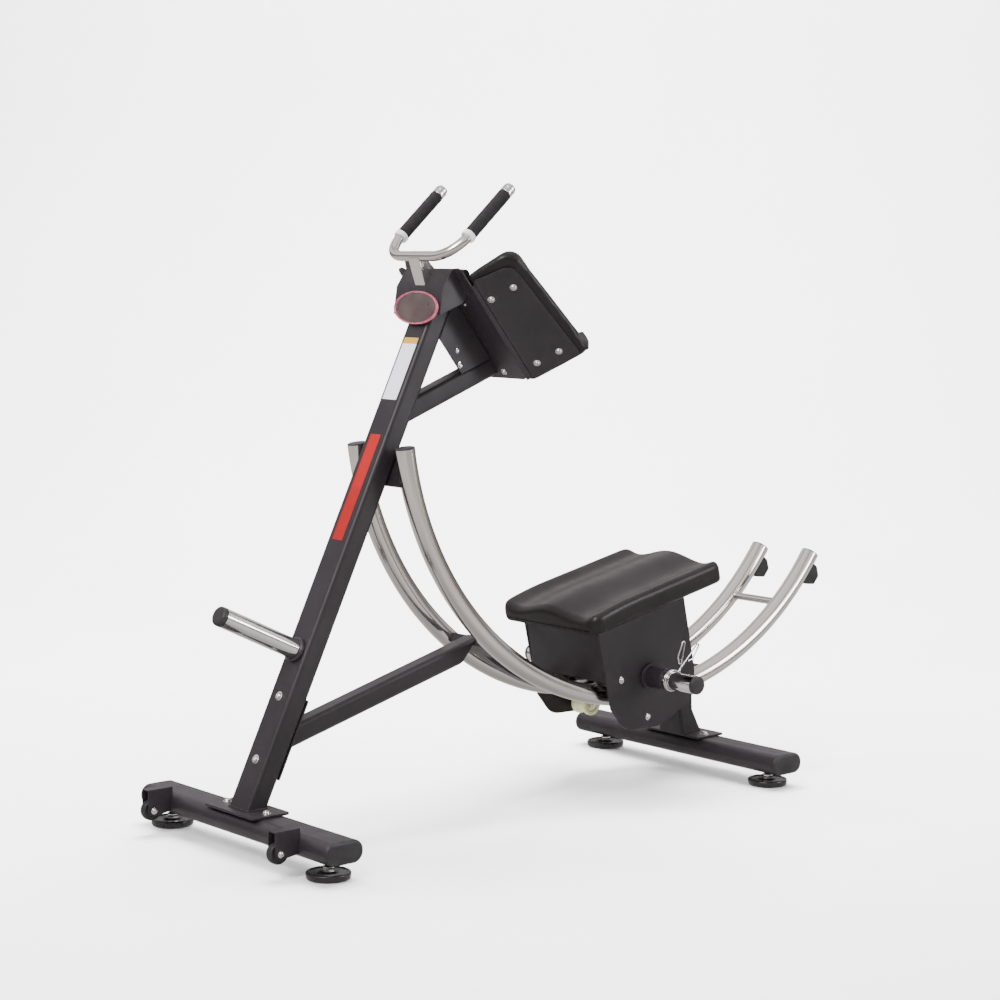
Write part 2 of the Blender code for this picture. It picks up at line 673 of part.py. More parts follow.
def rail_clearance(name, side):
    """A hidden copy of a rail, grown by the gap, that trims what meets the rail."""
    rings = rail_rings(RAIL_RADIUS + GAP * 2, side * RAIL_HALF_GAUGE,
                       RAIL_FRONT_ANGLE - 0.05, RAIL_REAR_ANGLE + 0.05, 40, 24)
    return add_object(name, loft(rings), BLACK_PAINT)


def arc_bar(first, last, inner, outer, half_width, count):
    """A bar that follows the arc between two radii."""
    rings = []
    for angle in arc_stations(first, last, count):
        rings.append([on_arc(angle, r, y) for r, y in
                      ((inner, -half_width), (outer, -half_width), (outer, half_width),
                       (inner, half_width))])
    return loft(rings)


def rail_ladder(trimmers):
    """The curved spine between the rails with a cross member at each end."""
    reach = RAIL_HALF_GAUGE - 0.012
    inner, outer = LADDER_INNER_R, LADDER_OUTER_R
    spine = arc_bar(MID_MEMBER_ANGLE, REAR_MEMBER_ANGLE, inner, outer,
                    LADDER_SPINE_HALF_WIDTH, 12)
    ladder = add_object("rail_ladder", spine, BLACK_PAINT)
    for name, angle in (("mid", MID_MEMBER_ANGLE), ("rear", REAR_MEMBER_ANGLE)):
        member = arc_bar(angle - MEMBER_SPREAD, angle + MEMBER_SPREAD, inner, outer, reach, 1)
        join(ladder, add_object(f"rail_ladder_{name}_member", member, BLACK_PAINT))
    for trimmer in trimmers:
        cut(ladder, trimmer)


def lower_strut():
    """From the upright's rear face up to the middle cross member."""
    start = (REAR_FACE + UP_BACK * (STRUT_PLATE_THICKNESS / 2), UP_BACK)
    member_front = MID_MEMBER_ANGLE - MEMBER_SPREAD
    end = (on_arc(member_front, ARC_RADIUS) - arc_tangent(member_front) * GAP * 2,
           arc_tangent(member_front))
    strut = strut_tube("lower_strut", LOWER_STRUT_POINT, LOWER_STRUT_SLOPE, start, end)
    along = strut_direction(LOWER_STRUT_SLOPE)
    reach = (REAR_FACE - LOWER_STRUT_POINT).dot(UP_BACK) / along.dot(UP_BACK)
    root = LOWER_STRUT_POINT + along * reach
    outline = rounded_rectangle(UPRIGHT_WIDTH - 0.004, STRUT_PLATE_LENGTH, 0.004, 2)
    plate = slab(outline, GAP, GAP + STRUT_PLATE_THICKNESS,
                 lambda a, b, c: root + ACROSS * a + UP_ALONG * b + UP_BACK * c)
    join(strut, add_object("lower_strut_plate", plate, BLACK_PAINT))


def rear_pedestal():
    """The flared post from the rear base tube up to the rear cross member."""
    low = REAR_BASE_Z + BASE_SECTION[1] / 2 + GAP
    plate_top = low + 0.005
    top_middle = on_arc(REAR_MEMBER_ANGLE, LADDER_OUTER_R)
    tangent = arc_tangent(REAR_MEMBER_ANGLE)
    normal = Vector((-sin(REAR_MEMBER_ANGLE), 0.0, cos(REAR_MEMBER_ANGLE)))
    sizes = ((0.100, 0.208, low, 0.0), (0.100, 0.208, plate_top, 0.0),
             (0.074, 0.094, plate_top, -0.014), (0.052, 0.080, 0.160, -0.030))
    rings = []
    for length, width, z, shift in sizes:
        outline = rounded_rectangle(length, width, 0.008, 3)
        rings.append([Vector((WHEELBASE + shift + a, b, z)) for a, b in outline])
    post = rounded_rectangle(0.050, 0.076, 0.008, 3)
    under = top_middle - normal * (GAP * 2)
    top_ring = []
    for a, b in post:
        x = WHEELBASE - 0.031 + a
        z = under.z + (x - under.x) * tangent.z / tangent.x
        top_ring.append(Vector((x, b, z - 0.0006)))
    rings.append(top_ring)
    add_object("rear_pedestal", loft(rings), BLACK_PAINT)


def rail_front_bracket(trimmers):
    """The plate across the upright's rear face that holds the rails' front ends."""
    low_z, high_z, thickness = 0.842, 0.930, 0.008
    low = on_line_at_height(REAR_FACE, UP_ALONG, low_z)
    high = on_line_at_height(REAR_FACE, UP_ALONG, high_z)
    length = (high - low).length
    outline = rounded_rectangle(2 * RAIL_HALF_GAUGE - 0.010, length, 0.004, 2)
    middle = (low + high) / 2
    plate = add_object("rail_front_bracket",
                       slab(outline, GAP, GAP + thickness,
                            lambda a, b, c: middle + ACROSS * a + UP_ALONG * b + UP_BACK * c),
                       BLACK_PAINT)
    for trimmer in trimmers:
        cut(plate, trimmer)


def rail_crossbar(trimmers):
    """The round bar that ties the rails together near their rear ends."""
    centre = on_arc(CROSSBAR_ANGLE, ARC_RADIUS)
    reach = RAIL_HALF_GAUGE - 0.006
    profile = ((CROSSBAR_RADIUS, -reach), (CROSSBAR_RADIUS, reach))
    bar = add_object("rail_crossbar", turned(profile, centre, ACROSS, 16), STAINLESS)
    for trimmer in trimmers:
        cut(bar, trimmer)


def rail_stop(side, trimmers):
    """A wedge of rubber under a rail's rear end that stops the carriage."""
    inner = ARC_RADIUS + RAIL_RADIUS - 0.008
    half_width = 0.016
    rings = []
    for radius, half_length in ((inner, 0.030), (ARC_RADIUS + RAIL_RADIUS + 0.011, 0.030),
                                (ARC_RADIUS + RAIL_RADIUS + 0.033, 0.014)):
        spread = half_length / radius
        rings.append([on_arc(STOP_ANGLE + da, radius, side * RAIL_HALF_GAUGE + dy) for da, dy in
                      ((-spread, -half_width), (spread, -half_width), (spread, half_width),
                       (-spread, half_width))])
    stop = add_object(f"rail_stop_{side_name(side)}", loft(rings), BLACK_RUBBER)
    for trimmer in trimmers:
        cut(stop, trimmer)


def storage_horn():
    """The spare plate horn, square to the upright's front face."""
    root = on_line_at_height(FRONT_FACE, UP_ALONG, STORAGE_HORN_Z) - UP_BACK * GAP
    cap = 0.014
    bar_end = STORAGE_HORN_LENGTH - cap
    bar = ((0.031, 0.0), (0.031, 0.008), (HORN_RADIUS, 0.008), (HORN_RADIUS, bar_end))
    add_object("storage_horn", turned(bar, root, -UP_BACK, 24), CHROME)
    end = ((HORN_RADIUS, bar_end + GAP), (HORN_RADIUS, bar_end + cap - 0.005),
           (HORN_RADIUS - 0.002, bar_end + cap - 0.001), (HORN_RADIUS - 0.006, bar_end + cap))
    add_object("storage_horn_cap", turned(end, root, -UP_BACK, 24), BLACK_PLASTIC)


# ---------------------------------------------------------------- carriage
CARRIAGE_PIVOT = pivot("carriage_pivot", (ARC_X, 0.0, ARC_Z))
PAD_ALONG = Vector((cos(PAD_TILT), 0.0, sin(PAD_TILT)))
PAD_UP = Vector((-sin(PAD_TILT), 0.0, cos(PAD_TILT)))
HORN_AXIS = on_arc(CARRIAGE_ANGLE, 0.7465)


def under_pad(x, drop):
    """Height of the pad's underside at x, less a drop square to it."""
    return PAD_FRONT.z + (x - PAD_FRONT.x) * sin(PAD_TILT) / cos(PAD_TILT) - drop


def carriage_side(side):
    """A side plate with round lower corners and a hole for the horn bar."""
    word = side_name(side)
    top_drop = 0.010
    front_x, rear_x = 0.9875, 1.2955
    corners = [(front_x, under_pad(front_x, top_drop)), (1.035, 0.226), (1.085, 0.164),
               (1.210, 0.161), (1.330, 0.216), (1.339, 0.294),
               (rear_x, under_pad(rear_x, top_drop))]
    outline = rounded_polygon(corners, [0, 0.020, 0.055, 0.075, 0.040, 0.060, 0])
    faces = sorted((side * SIDE_FACE_Y, side * (SIDE_FACE_Y - SIDE_SHEET)))
    plate = add_object(f"carriage_side_{word}", slab(outline, *faces, standing), BLACK_PAINT,
                       CARRIAGE_PIVOT)
    hole = turned(((HORN_RADIUS + GAP * 2, faces[0] - 0.01), (HORN_RADIUS + GAP * 2,
                                                              faces[1] + 0.01)),
                  HORN_AXIS, ACROSS, 24)
    cut(plate, add_object(f"carriage_side_{word}_hole", hole, BLACK_PAINT, CARRIAGE_PIVOT))


def carriage_body():
    """Front, top and rear walls between the side plates, folded from one sheet."""
    sheet = 0.004
    half = SIDE_FACE_Y - SIDE_SHEET - GAP
    drop = 0.001
    front_x, rear_x = 0.989, 1.294
    front_top = Vector((front_x, under_pad(front_x, drop)))
    rear_top = Vector((rear_x, under_pad(rear_x, drop)))
    front_low = Vector((1.018, 0.296))
    rear_low = Vector((1.332, 0.300))
    outer = [front_low, front_top, rear_top, rear_low]
    inner = [rear_low + Vector((-sheet, 0.0)), rear_top + Vector((-sheet, -sheet)),
             front_top + Vector((sheet, -sheet)), front_low + Vector((sheet, 0.0))]
    outline = [tuple(p) for p in outer + inner]
    add_object("carriage_body", slab(outline, -half, half, standing), BLACK_PAINT,
               CARRIAGE_PIVOT, smooth=False)


def pad_height(share):
    """Height of the knee pad's top at a share of its half width."""
    if share < 0.67:
        return PAD_TROUGH + (PAD_RIDGE - PAD_TROUGH) * (0.5 + 0.5 * cos(pi * share / 0.67))
    lift = 0.5 - 0.5 * cos(pi * (share - 0.67) / 0.33)
    return PAD_TROUGH + (PAD_LIP - PAD_TROUGH) * lift


def pad_section(inset, height_share):
    """A cross section of the knee pad: flat underside, short sides and a wavy top."""
    half = PAD_HALF_WIDTH - inset
    points = [(-half + 0.008, 0.0), (half - 0.008, 0.0), (half, 0.008)]
    steps = 20
    for i in range(steps + 1):
        share = 1.0 - 2.0 * i / steps
        height = pad_height(abs(share)) * height_share
        edge = 0.008 if i in (0, steps) else 0.0
        points.append((share * (half - 0.002), height - edge))
    points.append((-half, 0.008))
    return points


def knee_pad():
    """The moulded knee pad: two troughs between a middle ridge and outer lips."""
    start = -PAD_OVERHANG
    end = start + PAD_LENGTH
    stations = ((start, 0.014, 0.62), (start + 0.006, 0.006, 0.80), (start + 0.022, 0.0, 0.94),
                (start + 0.075, 0.0, 1.0), (end - 0.060, 0.0, 1.0), (end - 0.016, 0.0, 0.96),
                (end - 0.004, 0.005, 0.86), (end, 0.012, 0.70))
    rings = []
    for along, inset, share in stations:
        centre = PAD_FRONT + PAD_ALONG * along + PAD_UP * GAP
        lift = 0.010 if along in (start, end) else 0.0
        rings.append([centre + ACROSS * y + PAD_UP * max(h, lift)
                      for y, h in pad_section(inset, share)])
    add_object("knee_pad", loft(rings), BLACK_VINYL, CARRIAGE_PIVOT)


def carriage_horn():
    """One bar through both side plates, with a stepped collar outside each plate."""
    face = SIDE_FACE_Y + GAP
    flange, sleeve, end = face + 0.008, 0.214, CARRIAGE_HORN_END - 0.012
    half = ((0.034, face), (0.034, flange), (0.028, flange), (0.028, sleeve),
            (HORN_RADIUS, sleeve), (HORN_RADIUS, end))
    profile = [(r, -y) for r, y in reversed(half)] + [(HORN_RADIUS, -face)]
    profile += [(HORN_RADIUS, face)] + list(half)
    add_object("carriage_horn_bar", turned(profile, HORN_AXIS, ACROSS, 24), CHROME,
               CARRIAGE_PIVOT)
    for side in (LEFT, RIGHT):
        cap = ((HORN_RADIUS, end + GAP), (HORN_RADIUS, end + 0.008),
               (HORN_RADIUS - 0.002, end + 0.0115), (HORN_RADIUS - 0.006, end + 0.012))
        add_object(f"carriage_horn_cap_{side_name(side)}",
                   turned(cap, HORN_AXIS, ACROSS * side, 24), BLACK_PLASTIC, CARRIAGE_PIVOT)


def clip_handle(root, slope, length, outward):
    """A bent loop of the clip's wire, from its root: out, round the tip and back."""
    tip_radius = 0.004
    direction = Vector((cos(slope), 0.0, sin(slope)))
    across = Vector((-sin(slope), 0.0, cos(slope))) * outward
    centre = root + direction * (length - tip_radius) + across * tip_radius
    points = []
    for step in range(5):
        angle = pi * step / 4
        points.append(centre + (direction * sin(angle) - across * cos(angle)) * tip_radius)
    points.append(root + direction * (length * 0.60) + across * 0.016)
    points.append(root + direction * (length * 0.44) + across * 0.007)
    return points


def spring_clip(side):
    """A sprung wire collar: nearly two turns round the horn, with two looped handles."""
    coil_radius = HORN_RADIUS + CLIP_WIRE + 0.0008
    first = CLIP_SLOPES[0] - pi / 2
    steps = 30
    coil = []
    for i in range(steps + 1):
        angle = first - 2 * pi * CLIP_TURNS * i / steps
        y = CLIP_START_Y + CLIP_PITCH * CLIP_TURNS * i / steps
        coil.append(HORN_AXIS + Vector((coil_radius * cos(angle), side * y,
                                        coil_radius * sin(angle))))
    start_loop = clip_handle(coil[0], CLIP_SLOPES[0], CLIP_LENGTHS[0], 1)
    path = start_loop[::-1] + coil + clip_handle(coil[-1], CLIP_SLOPES[1], CLIP_LENGTHS[1], -1)
    section = circle(CLIP_WIRE, 8)
    rings = []
    for i, point in enumerate(path):
        before = path[max(i - 1, 0)]
        after = path[min(i + 1, len(path) - 1)]
        rings.append(ring_at(section, frame_at(point, after - before, ACROSS)))
    word = side_name(side)
    middle_y = CLIP_START_Y + CLIP_PITCH * CLIP_TURNS / 2
    parent = pivot(f"spring_clip_{word}_axis", (HORN_AXIS.x, side * middle_y, HORN_AXIS.z))
    add_object(f"spring_clip_{word}", loft(rings), CHROME, parent)


def roller(name, angle, radius, side):
    """A grooved roller whose waist fits round the rail with running clearance."""
    offset = abs(radius - ARC_RADIUS)
    groove = RAIL_RADIUS + ROLLER_CLEARANCE
    lip = sqrt(groove ** 2 - (offset - ROLLER_FLANGE) ** 2)
    profile = [(ROLLER_FLANGE - 0.002, -ROLLER_HALF_LENGTH),
               (ROLLER_FLANGE, -ROLLER_HALF_LENGTH + 0.002), (ROLLER_FLANGE, -lip)]
    steps = 6
    for i in range(1, steps):
        across = -lip + 2 * lip * i / steps
        profile.append((offset - sqrt(groove ** 2 - across ** 2), across))
    profile += [(ROLLER_FLANGE, lip), (ROLLER_FLANGE, ROLLER_HALF_LENGTH - 0.002),
                (ROLLER_FLANGE - 0.002, ROLLER_HALF_LENGTH)]
    centre = on_arc(CARRIAGE_ANGLE + angle, radius, side * RAIL_HALF_GAUGE)
    parent = pivot(f"{name}_axis", centre)
    add_object(name, turned(profile, centre, ACROSS, 18), ROLLER_PLASTIC, parent)


def rollers():
    for side in (LEFT, RIGHT):
        word = side_name(side)
        roller(f"roller_upper_front_{word}", -ROLLER_SPREAD, UPPER_ROLLER_R, side)
        roller(f"roller_upper_rear_{word}", ROLLER_SPREAD, UPPER_ROLLER_R, side)
        roller(f"roller_lower_{word}", 0.0, LOWER_ROLLER_R, side)


# ---------------------------------------------------------------- the whole machine
def build():
    base_assembly()
    upright()
    head_housing()
    handlebar()
    handle_stem()
    upper_strut()
    elbow_spine()
    elbow_bracket()
    trimmers = [rail_clearance(f"rail_clearance_{side_name(side)}", side)
                for side in (LEFT, RIGHT)]
    rail_ladder(trimmers)
    lower_strut()
    rear_pedestal()
    rail_front_bracket(trimmers)
    rail_crossbar(trimmers)
    storage_horn()
    carriage_body()
    knee_pad()
    carriage_horn()
    rollers()
    for side in (LEFT, RIGHT):
        transport_wheel(side)
        elbow_plate_and_pad(side)
        rail(side)
        rail_stop(side, trimmers)
        carriage_side(side)
        spring_clip(side)


build()
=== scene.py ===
"""Looks for the ab crunch machine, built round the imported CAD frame.

Round and soft pieces are rebuilt here with finer meshes and replace their CAD nodes; flat
steel pieces keep their CAD nodes, with softened edges.  Metres, +Z up.
"""

import json
from math import acos, atan2, cos, pi, radians, sin, sqrt

import bmesh
import bpy
from mathutils import Matrix, Vector


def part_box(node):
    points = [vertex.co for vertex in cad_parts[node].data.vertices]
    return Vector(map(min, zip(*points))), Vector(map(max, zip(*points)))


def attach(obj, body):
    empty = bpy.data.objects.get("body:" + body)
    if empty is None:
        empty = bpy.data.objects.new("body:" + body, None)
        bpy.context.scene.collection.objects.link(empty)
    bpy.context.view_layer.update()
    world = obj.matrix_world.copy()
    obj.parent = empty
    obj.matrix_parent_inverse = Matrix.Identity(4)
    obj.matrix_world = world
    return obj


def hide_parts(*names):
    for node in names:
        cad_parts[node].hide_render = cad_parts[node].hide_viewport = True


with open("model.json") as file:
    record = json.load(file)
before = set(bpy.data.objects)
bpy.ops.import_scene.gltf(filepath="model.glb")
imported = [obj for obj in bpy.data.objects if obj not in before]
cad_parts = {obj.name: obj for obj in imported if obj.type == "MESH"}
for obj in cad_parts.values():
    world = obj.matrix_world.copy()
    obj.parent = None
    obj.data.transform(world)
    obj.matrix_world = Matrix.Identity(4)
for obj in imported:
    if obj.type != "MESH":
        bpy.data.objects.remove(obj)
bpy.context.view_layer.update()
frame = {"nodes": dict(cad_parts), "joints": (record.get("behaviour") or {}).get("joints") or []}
NODES = frame["nodes"]
JOINTS = {joint["name"]: joint for joint in frame["joints"]}
SIDES = ((-1, "left"), (1, "right"))
ACROSS = Vector((0.0, 1.0, 0.0))
UP = Vector((0.0, 0.0, 1.0))

# -------- places, from the frame
FRONT_X = JOINTS["foot_front_left_turn"]["pos_m"][0]      # the front feet's line
REAR_X = JOINTS["foot_rear_left_turn"]["pos_m"][0]
ARC_CENTRE = Vector(JOINTS["carriage_swing"]["pos_m"])


def middle(node):
    low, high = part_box(node)
    return (low + high) / 2


def size(node):
    low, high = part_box(node)
    return high - low


RAIL_RADIUS = size("rail_left").y / 2
RAIL_GAUGE = middle("rail_right").y
ARC_RADIUS = ARC_CENTRE.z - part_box("rail_left")[0].z - RAIL_RADIUS
RAIL_ENDS = (radians(-82.0), radians(53.2))
HORN_RADIUS = size("carriage_horn_cap_left").x / 2
LEAN = radians(25.6)
UP_ALONG = Vector((sin(LEAN), 0.0, cos(LEAN)))
UP_BACK = Vector((cos(LEAN), 0.0, -sin(LEAN)))
UPRIGHT_WIDTH, UPRIGHT_DEPTH = 0.082, 0.054
UPRIGHT_LOW = Vector((FRONT_X + 0.0086, 0.0, 0.113))
FRONT_FACE = UPRIGHT_LOW - UP_BACK * (UPRIGHT_DEPTH / 2)
REAR_FACE = UPRIGHT_LOW + UP_BACK * (UPRIGHT_DEPTH / 2)
HANDLE_SLOPE = radians(41.8)
HANDLE_RISE = Vector((cos(HANDLE_SLOPE), 0.0, sin(HANDLE_SLOPE)))
HANDLE_LOW = Vector((FRONT_X + 0.5125, 0.0, 1.392))
HANDLE_RADIUS = 0.0125
HANDLE_HALF_WIDTH = middle("handle_grip_right").y
HANDLE_BEND = 0.070
GRIP_RANGE = (0.079, 0.226)
HANDLE_END = 0.254
SHEET_SLOPE = atan2(0.787, 0.617)      # the middle sheet between the elbow plates
SHEET_NORMAL = Vector((sin(SHEET_SLOPE), 0.0, cos(SHEET_SLOPE)))
SHEET_ALONG = Vector((cos(SHEET_SLOPE), 0.0, -sin(SHEET_SLOPE)))
SHEET_LEVEL = 1.270


# -------- materials
class Nodes:
    """A material's node tree, with short calls for the nodes used here."""

    def __init__(self, name):
        self.material = bpy.data.materials.new(name)
        self.material.use_nodes = True
        self.tree = self.material.node_tree
        self.shader = self.tree.nodes["Principled BSDF"]
        self.where = self.tree.nodes.new("ShaderNodeTexCoord").outputs["Object"]

    def link(self, source, target):
        self.tree.links.new(source, target)

    def add(self, kind, source, socket, **settings):
        """Add a node fed by a source, and set its other inputs by name."""
        made = self.tree.nodes.new("ShaderNode" + kind)
        for name, value in settings.items():
            made.inputs[name.replace("_", " ")].default_value = value
        self.link(source, made.inputs[socket])
        return made

    def noise(self, scale, detail=2.0, vector=None, roughness=0.5):
        """A soft cloudy value."""
        made = self.add("TexNoise", vector or self.where, "Vector", Scale=scale, Detail=detail,
                        Roughness=roughness)
        return made.outputs["Fac"]

    def cells(self, scale, feature="F1"):
        made = self.add("TexVoronoi", self.where, "Vector", Scale=scale)
        made.feature = feature
        return made.outputs["Distance"]

    def stretched(self, scale):
        """Texture coordinates along a swept piece: around it, and along its length."""
        uv = self.tree.nodes.new("ShaderNodeUVMap").outputs["UV"]
        return self.add("Mapping", uv, "Vector", Scale=scale).outputs["Vector"]

    def remap(self, source, low, high, source_low=0.3, source_high=0.7):
        made = self.add("MapRange", source, "Value", From_Min=source_low, From_Max=source_high,
                        To_Min=low, To_Max=high)
        return made.outputs["Result"]

    def blend(self, factor, first, second):
        made = self.tree.nodes.new("ShaderNodeMix")
        made.data_type = "RGBA"
        self.link(factor, made.inputs["Factor"])
        made.inputs[6].default_value = (*first, 1.0)
        made.inputs[7].default_value = (*second, 1.0)
        return made.outputs[2]

    def bump(self, height, strength, distance, under=None):
        made = self.add("Bump", height, "Height", Strength=strength, Distance=distance)
        if under is not None:
            self.link(under, made.inputs["Normal"])
        return made.outputs["Normal"]

    def finish(self, colour=None, roughness=None, normal=None, **fixed):
        for name, source in (("Base Color", colour), ("Roughness", roughness),
                             ("Normal", normal)):
            if source is not None:
                self.link(source, self.shader.inputs[name])
        for name, value in fixed.items():
            self.shader.inputs[name.replace("_", " ")].default_value = value
        return self.material


def powder_coat():
    """Satin black paint with a faint orange peel and uneven gloss."""
    n = Nodes("satin_powder_coat")
    colour = n.blend(n.remap(n.noise(5.0, 3.0), 0, 1), (0.0105, 0.0083, 0.0101),
                     (0.0160, 0.0130, 0.0156))
    roughness = n.remap(n.noise(14.0, 4.0), 0.36, 0.46)
    peel = n.bump(n.noise(620.0, 1.0), 0.16, 0.00020)
    return n.finish(colour, roughness, n.bump(n.noise(40.0, 2.0), 0.05, 0.0008, peel),
                    Specular_IOR_Level=0.30)


def vinyl():
    """Black upholstery vinyl: a fine pebbled grain over a soft sheen."""
    n = Nodes("black_vinyl_grain")
    colour = n.blend(n.remap(n.noise(9.0, 3.0), 0, 1), (0.0050, 0.0036, 0.0040),
                     (0.0086, 0.0064, 0.0069))
    roughness = n.remap(n.noise(25.0, 4.0), 0.30, 0.40)
    grain = n.bump(n.cells(850.0, "SMOOTH_F1"), 0.30, 0.00030)
    return n.finish(colour, roughness, n.bump(n.noise(60.0, 3.0), 0.10, 0.0008, grain),
                    Specular_IOR_Level=0.30)


def brushed_stainless():
    """Warm stainless tube, drawn along its length."""
    n = Nodes("brushed_stainless")
    lines = n.noise(1.0, 3.0, n.stretched((1600.0, 9.0, 1.0)), 0.65)
    soft = n.noise(1.0, 2.0, n.stretched((120.0, 3.0, 1.0)))
    colour = n.blend(n.remap(soft, 0, 1), (0.70, 0.645, 0.61), (0.86, 0.82, 0.79))
    roughness = n.remap(lines, 0.12, 0.24)
    return n.finish(colour, roughness, n.bump(lines, 0.05, 0.0002), Metallic=1.0)


def chrome():
    """Polished chrome with very light wear."""
    n = Nodes("polished_chrome")
    colour = n.blend(n.remap(n.noise(30.0, 3.0), 0, 1), (0.80, 0.785, 0.775),
                     (0.88, 0.87, 0.865))
    roughness = n.remap(n.noise(90.0, 5.0), 0.05, 0.14)
    return n.finish(colour, roughness, n.bump(n.noise(150.0, 3.0), 0.02, 0.0003), Metallic=1.0)


def moulded_plastic(name, dark, light, rough_low, rough_high, grain=900.0, gloss=0.5):
    """A moulded surface: two close tones, an even grain and a range of roughness."""
    n = Nodes(name)
    colour = n.blend(n.remap(n.noise(20.0, 3.0), 0, 1), dark, light)
    roughness = n.remap(n.noise(35.0, 3.0), rough_low, rough_high)
    return n.finish(colour, roughness, n.bump(n.noise(grain, 2.0), 0.12, 0.0002),
                    Specular_IOR_Level=gloss)


def foam():
    """Closed-cell foam for the hand grips."""
    n = Nodes("foam_grip")
    colour = n.blend(n.remap(n.noise(300.0, 3.0), 0, 1), (0.006, 0.005, 0.006),
                     (0.014, 0.0125, 0.014))
    pores = n.bump(n.cells(1500.0), 0.35, 0.0003)
    return n.finish(colour, n.remap(n.noise(80.0), 0.70, 0.85), pores, Specular_IOR_Level=0.28)


def roller_plastic(name, dark, light):
    """Cast polyurethane: a cloudy body colour that lets a little light in."""
    n = Nodes(name)
    colour = n.blend(n.remap(n.noise(45.0, 3.0), 0, 1), dark, light)
    roughness = n.remap(n.noise(60.0, 3.0), 0.28, 0.42)
    return n.finish(colour, roughness, n.bump(n.noise(500.0, 2.0), 0.10, 0.0002),
                    Subsurface_Weight=0.12, Subsurface_Scale=0.004)


def sticker(name, top_colour, low_colour, split):
    """A plain two-tone label; the tones meet at a share of its length."""
    n = Nodes(name)
    uv = n.tree.nodes.new("ShaderNodeUVMap").outputs["UV"]
    parts = n.add("SeparateXYZ", uv, "Vector")
    step = n.remap(parts.outputs["Y"], 0, 1, split - 0.001, split + 0.001)
    return n.finish(n.blend(step, low_colour, top_colour), n.remap(n.noise(50.0, 3.0), 0.30, 0.44),
                    n.bump(n.noise(700.0, 2.0), 0.08, 0.0001), Specular_IOR_Level=0.3)


# every finish is a material and the slot of the part that it belongs to
PAINT = powder_coat(), "black_paint"
VINYL = vinyl(), "black_vinyl"
STAINLESS = brushed_stainless(), "stainless"
CHROME = chrome(), "chrome"
PLASTIC = moulded_plastic("black_moulded_plastic", (0.009, 0.008, 0.009), (0.017, 0.015, 0.017),
                          0.34, 0.48, gloss=0.35), "black_plastic"
RUBBER = moulded_plastic("black_rubber", (0.008, 0.008, 0.008), (0.015, 0.014, 0.014),
                         0.50, 0.68, 500.0, 0.35), "black_rubber"
FOOT_RUBBER = moulded_plastic("foot_rubber", (0.008, 0.007, 0.008), (0.015, 0.013, 0.014),
                              0.22, 0.34, 500.0, 0.45), "black_rubber"
BLACK_STEEL = moulded_plastic("black_oxide_steel", (0.014, 0.013, 0.013), (0.028, 0.026, 0.025),
                              0.35, 0.50, gloss=0.6), "chrome"
FOAM = foam(), "foam_grip"
CREAM = (roller_plastic("cream_polyurethane", (0.33, 0.33, 0.17), (0.46, 0.455, 0.26)),
         "roller_plastic")
# painted shade: a darker copy of the cream polyurethane for the upper rollers, which sit in shadow;
# the darkness stands in for shade, not wear
SHADED_CREAM = (roller_plastic("painted_shade_polyurethane", (0.030, 0.028, 0.024), (0.060, 0.056, 0.046)),
              "roller_plastic")
COLLAR = moulded_plastic("silver_collar", (0.44, 0.435, 0.445), (0.56, 0.555, 0.565),
                         0.20, 0.32), "chrome"
LABEL = sticker("plain_label", (0.42, 0.24, 0.03), (0.60, 0.585, 0.65), 0.90), "black_plastic"
STRIPE = (sticker("plain_stripe", (0.26, 0.0010, 0.0015), (0.22, 0.0010, 0.0010), 0.5),
          "black_plastic")
BADGE_RIM = moulded_plastic("badge_rim", (0.26, 0.045, 0.085), (0.36, 0.085, 0.125),
                            0.22, 0.34, gloss=0.35), "chrome"
BADGE_FACE = moulded_plastic("badge_face", (0.040, 0.027, 0.028), (0.066, 0.050, 0.047),
                             0.26, 0.40, 60.0, 0.30), "stainless"


# -------- outlines and solids
def rounded_rectangle(width, height, radius, steps=8):
    points = []
    for corner, start in (((1, 1), 0), ((-1, 1), 90), ((-1, -1), 180), ((1, -1), 270)):
        centre = (corner[0] * (width / 2 - radius), corner[1] * (height / 2 - radius))
        for step in range(steps + 1):
            angle = radians(start + 90 * step / steps)
            points.append((centre[0] + radius * cos(angle), centre[1] + radius * sin(angle)))
    return points


def circle(radius, sides):
    return [(radius * cos(2 * pi * i / sides), radius * sin(2 * pi * i / sides))
            for i in range(sides)]


def rounded_polygon(corners, radii, steps=8):
    points = []
    count = len(corners)
    for i, radius in enumerate(radii):
        here = Vector(corners[i])
        before = (Vector(corners[i - 1]) - here).normalized()
        after = (Vector(corners[(i + 1) % count]) - here).normalized()
        half = acos(max(-1.0, min(1.0, before.dot(after)))) / 2
        reach = radius / sin(half) * cos(half)
        centre = here + (before + after).normalized() * (radius / sin(half))
        start = here + before * reach - centre
        turn = pi - 2 * half
        if before.x * after.y - before.y * after.x > 0:
            turn = -turn
        for step in range(steps + 1):
            angle = turn * step / steps
            points.append((centre.x + start.x * cos(angle) - start.y * sin(angle),
                           centre.y + start.x * sin(angle) + start.y * cos(angle)))
    return points


def frame_at(origin, along, across):
    forward = Vector(along).normalized()
    u = (Vector(across) - forward * forward.dot(Vector(across))).normalized()
    return Vector(origin), u, forward.cross(u), forward


def ring_at(section, place):
    origin, u, v, _ = place
    return [origin + u * a + v * b for a, b in section]


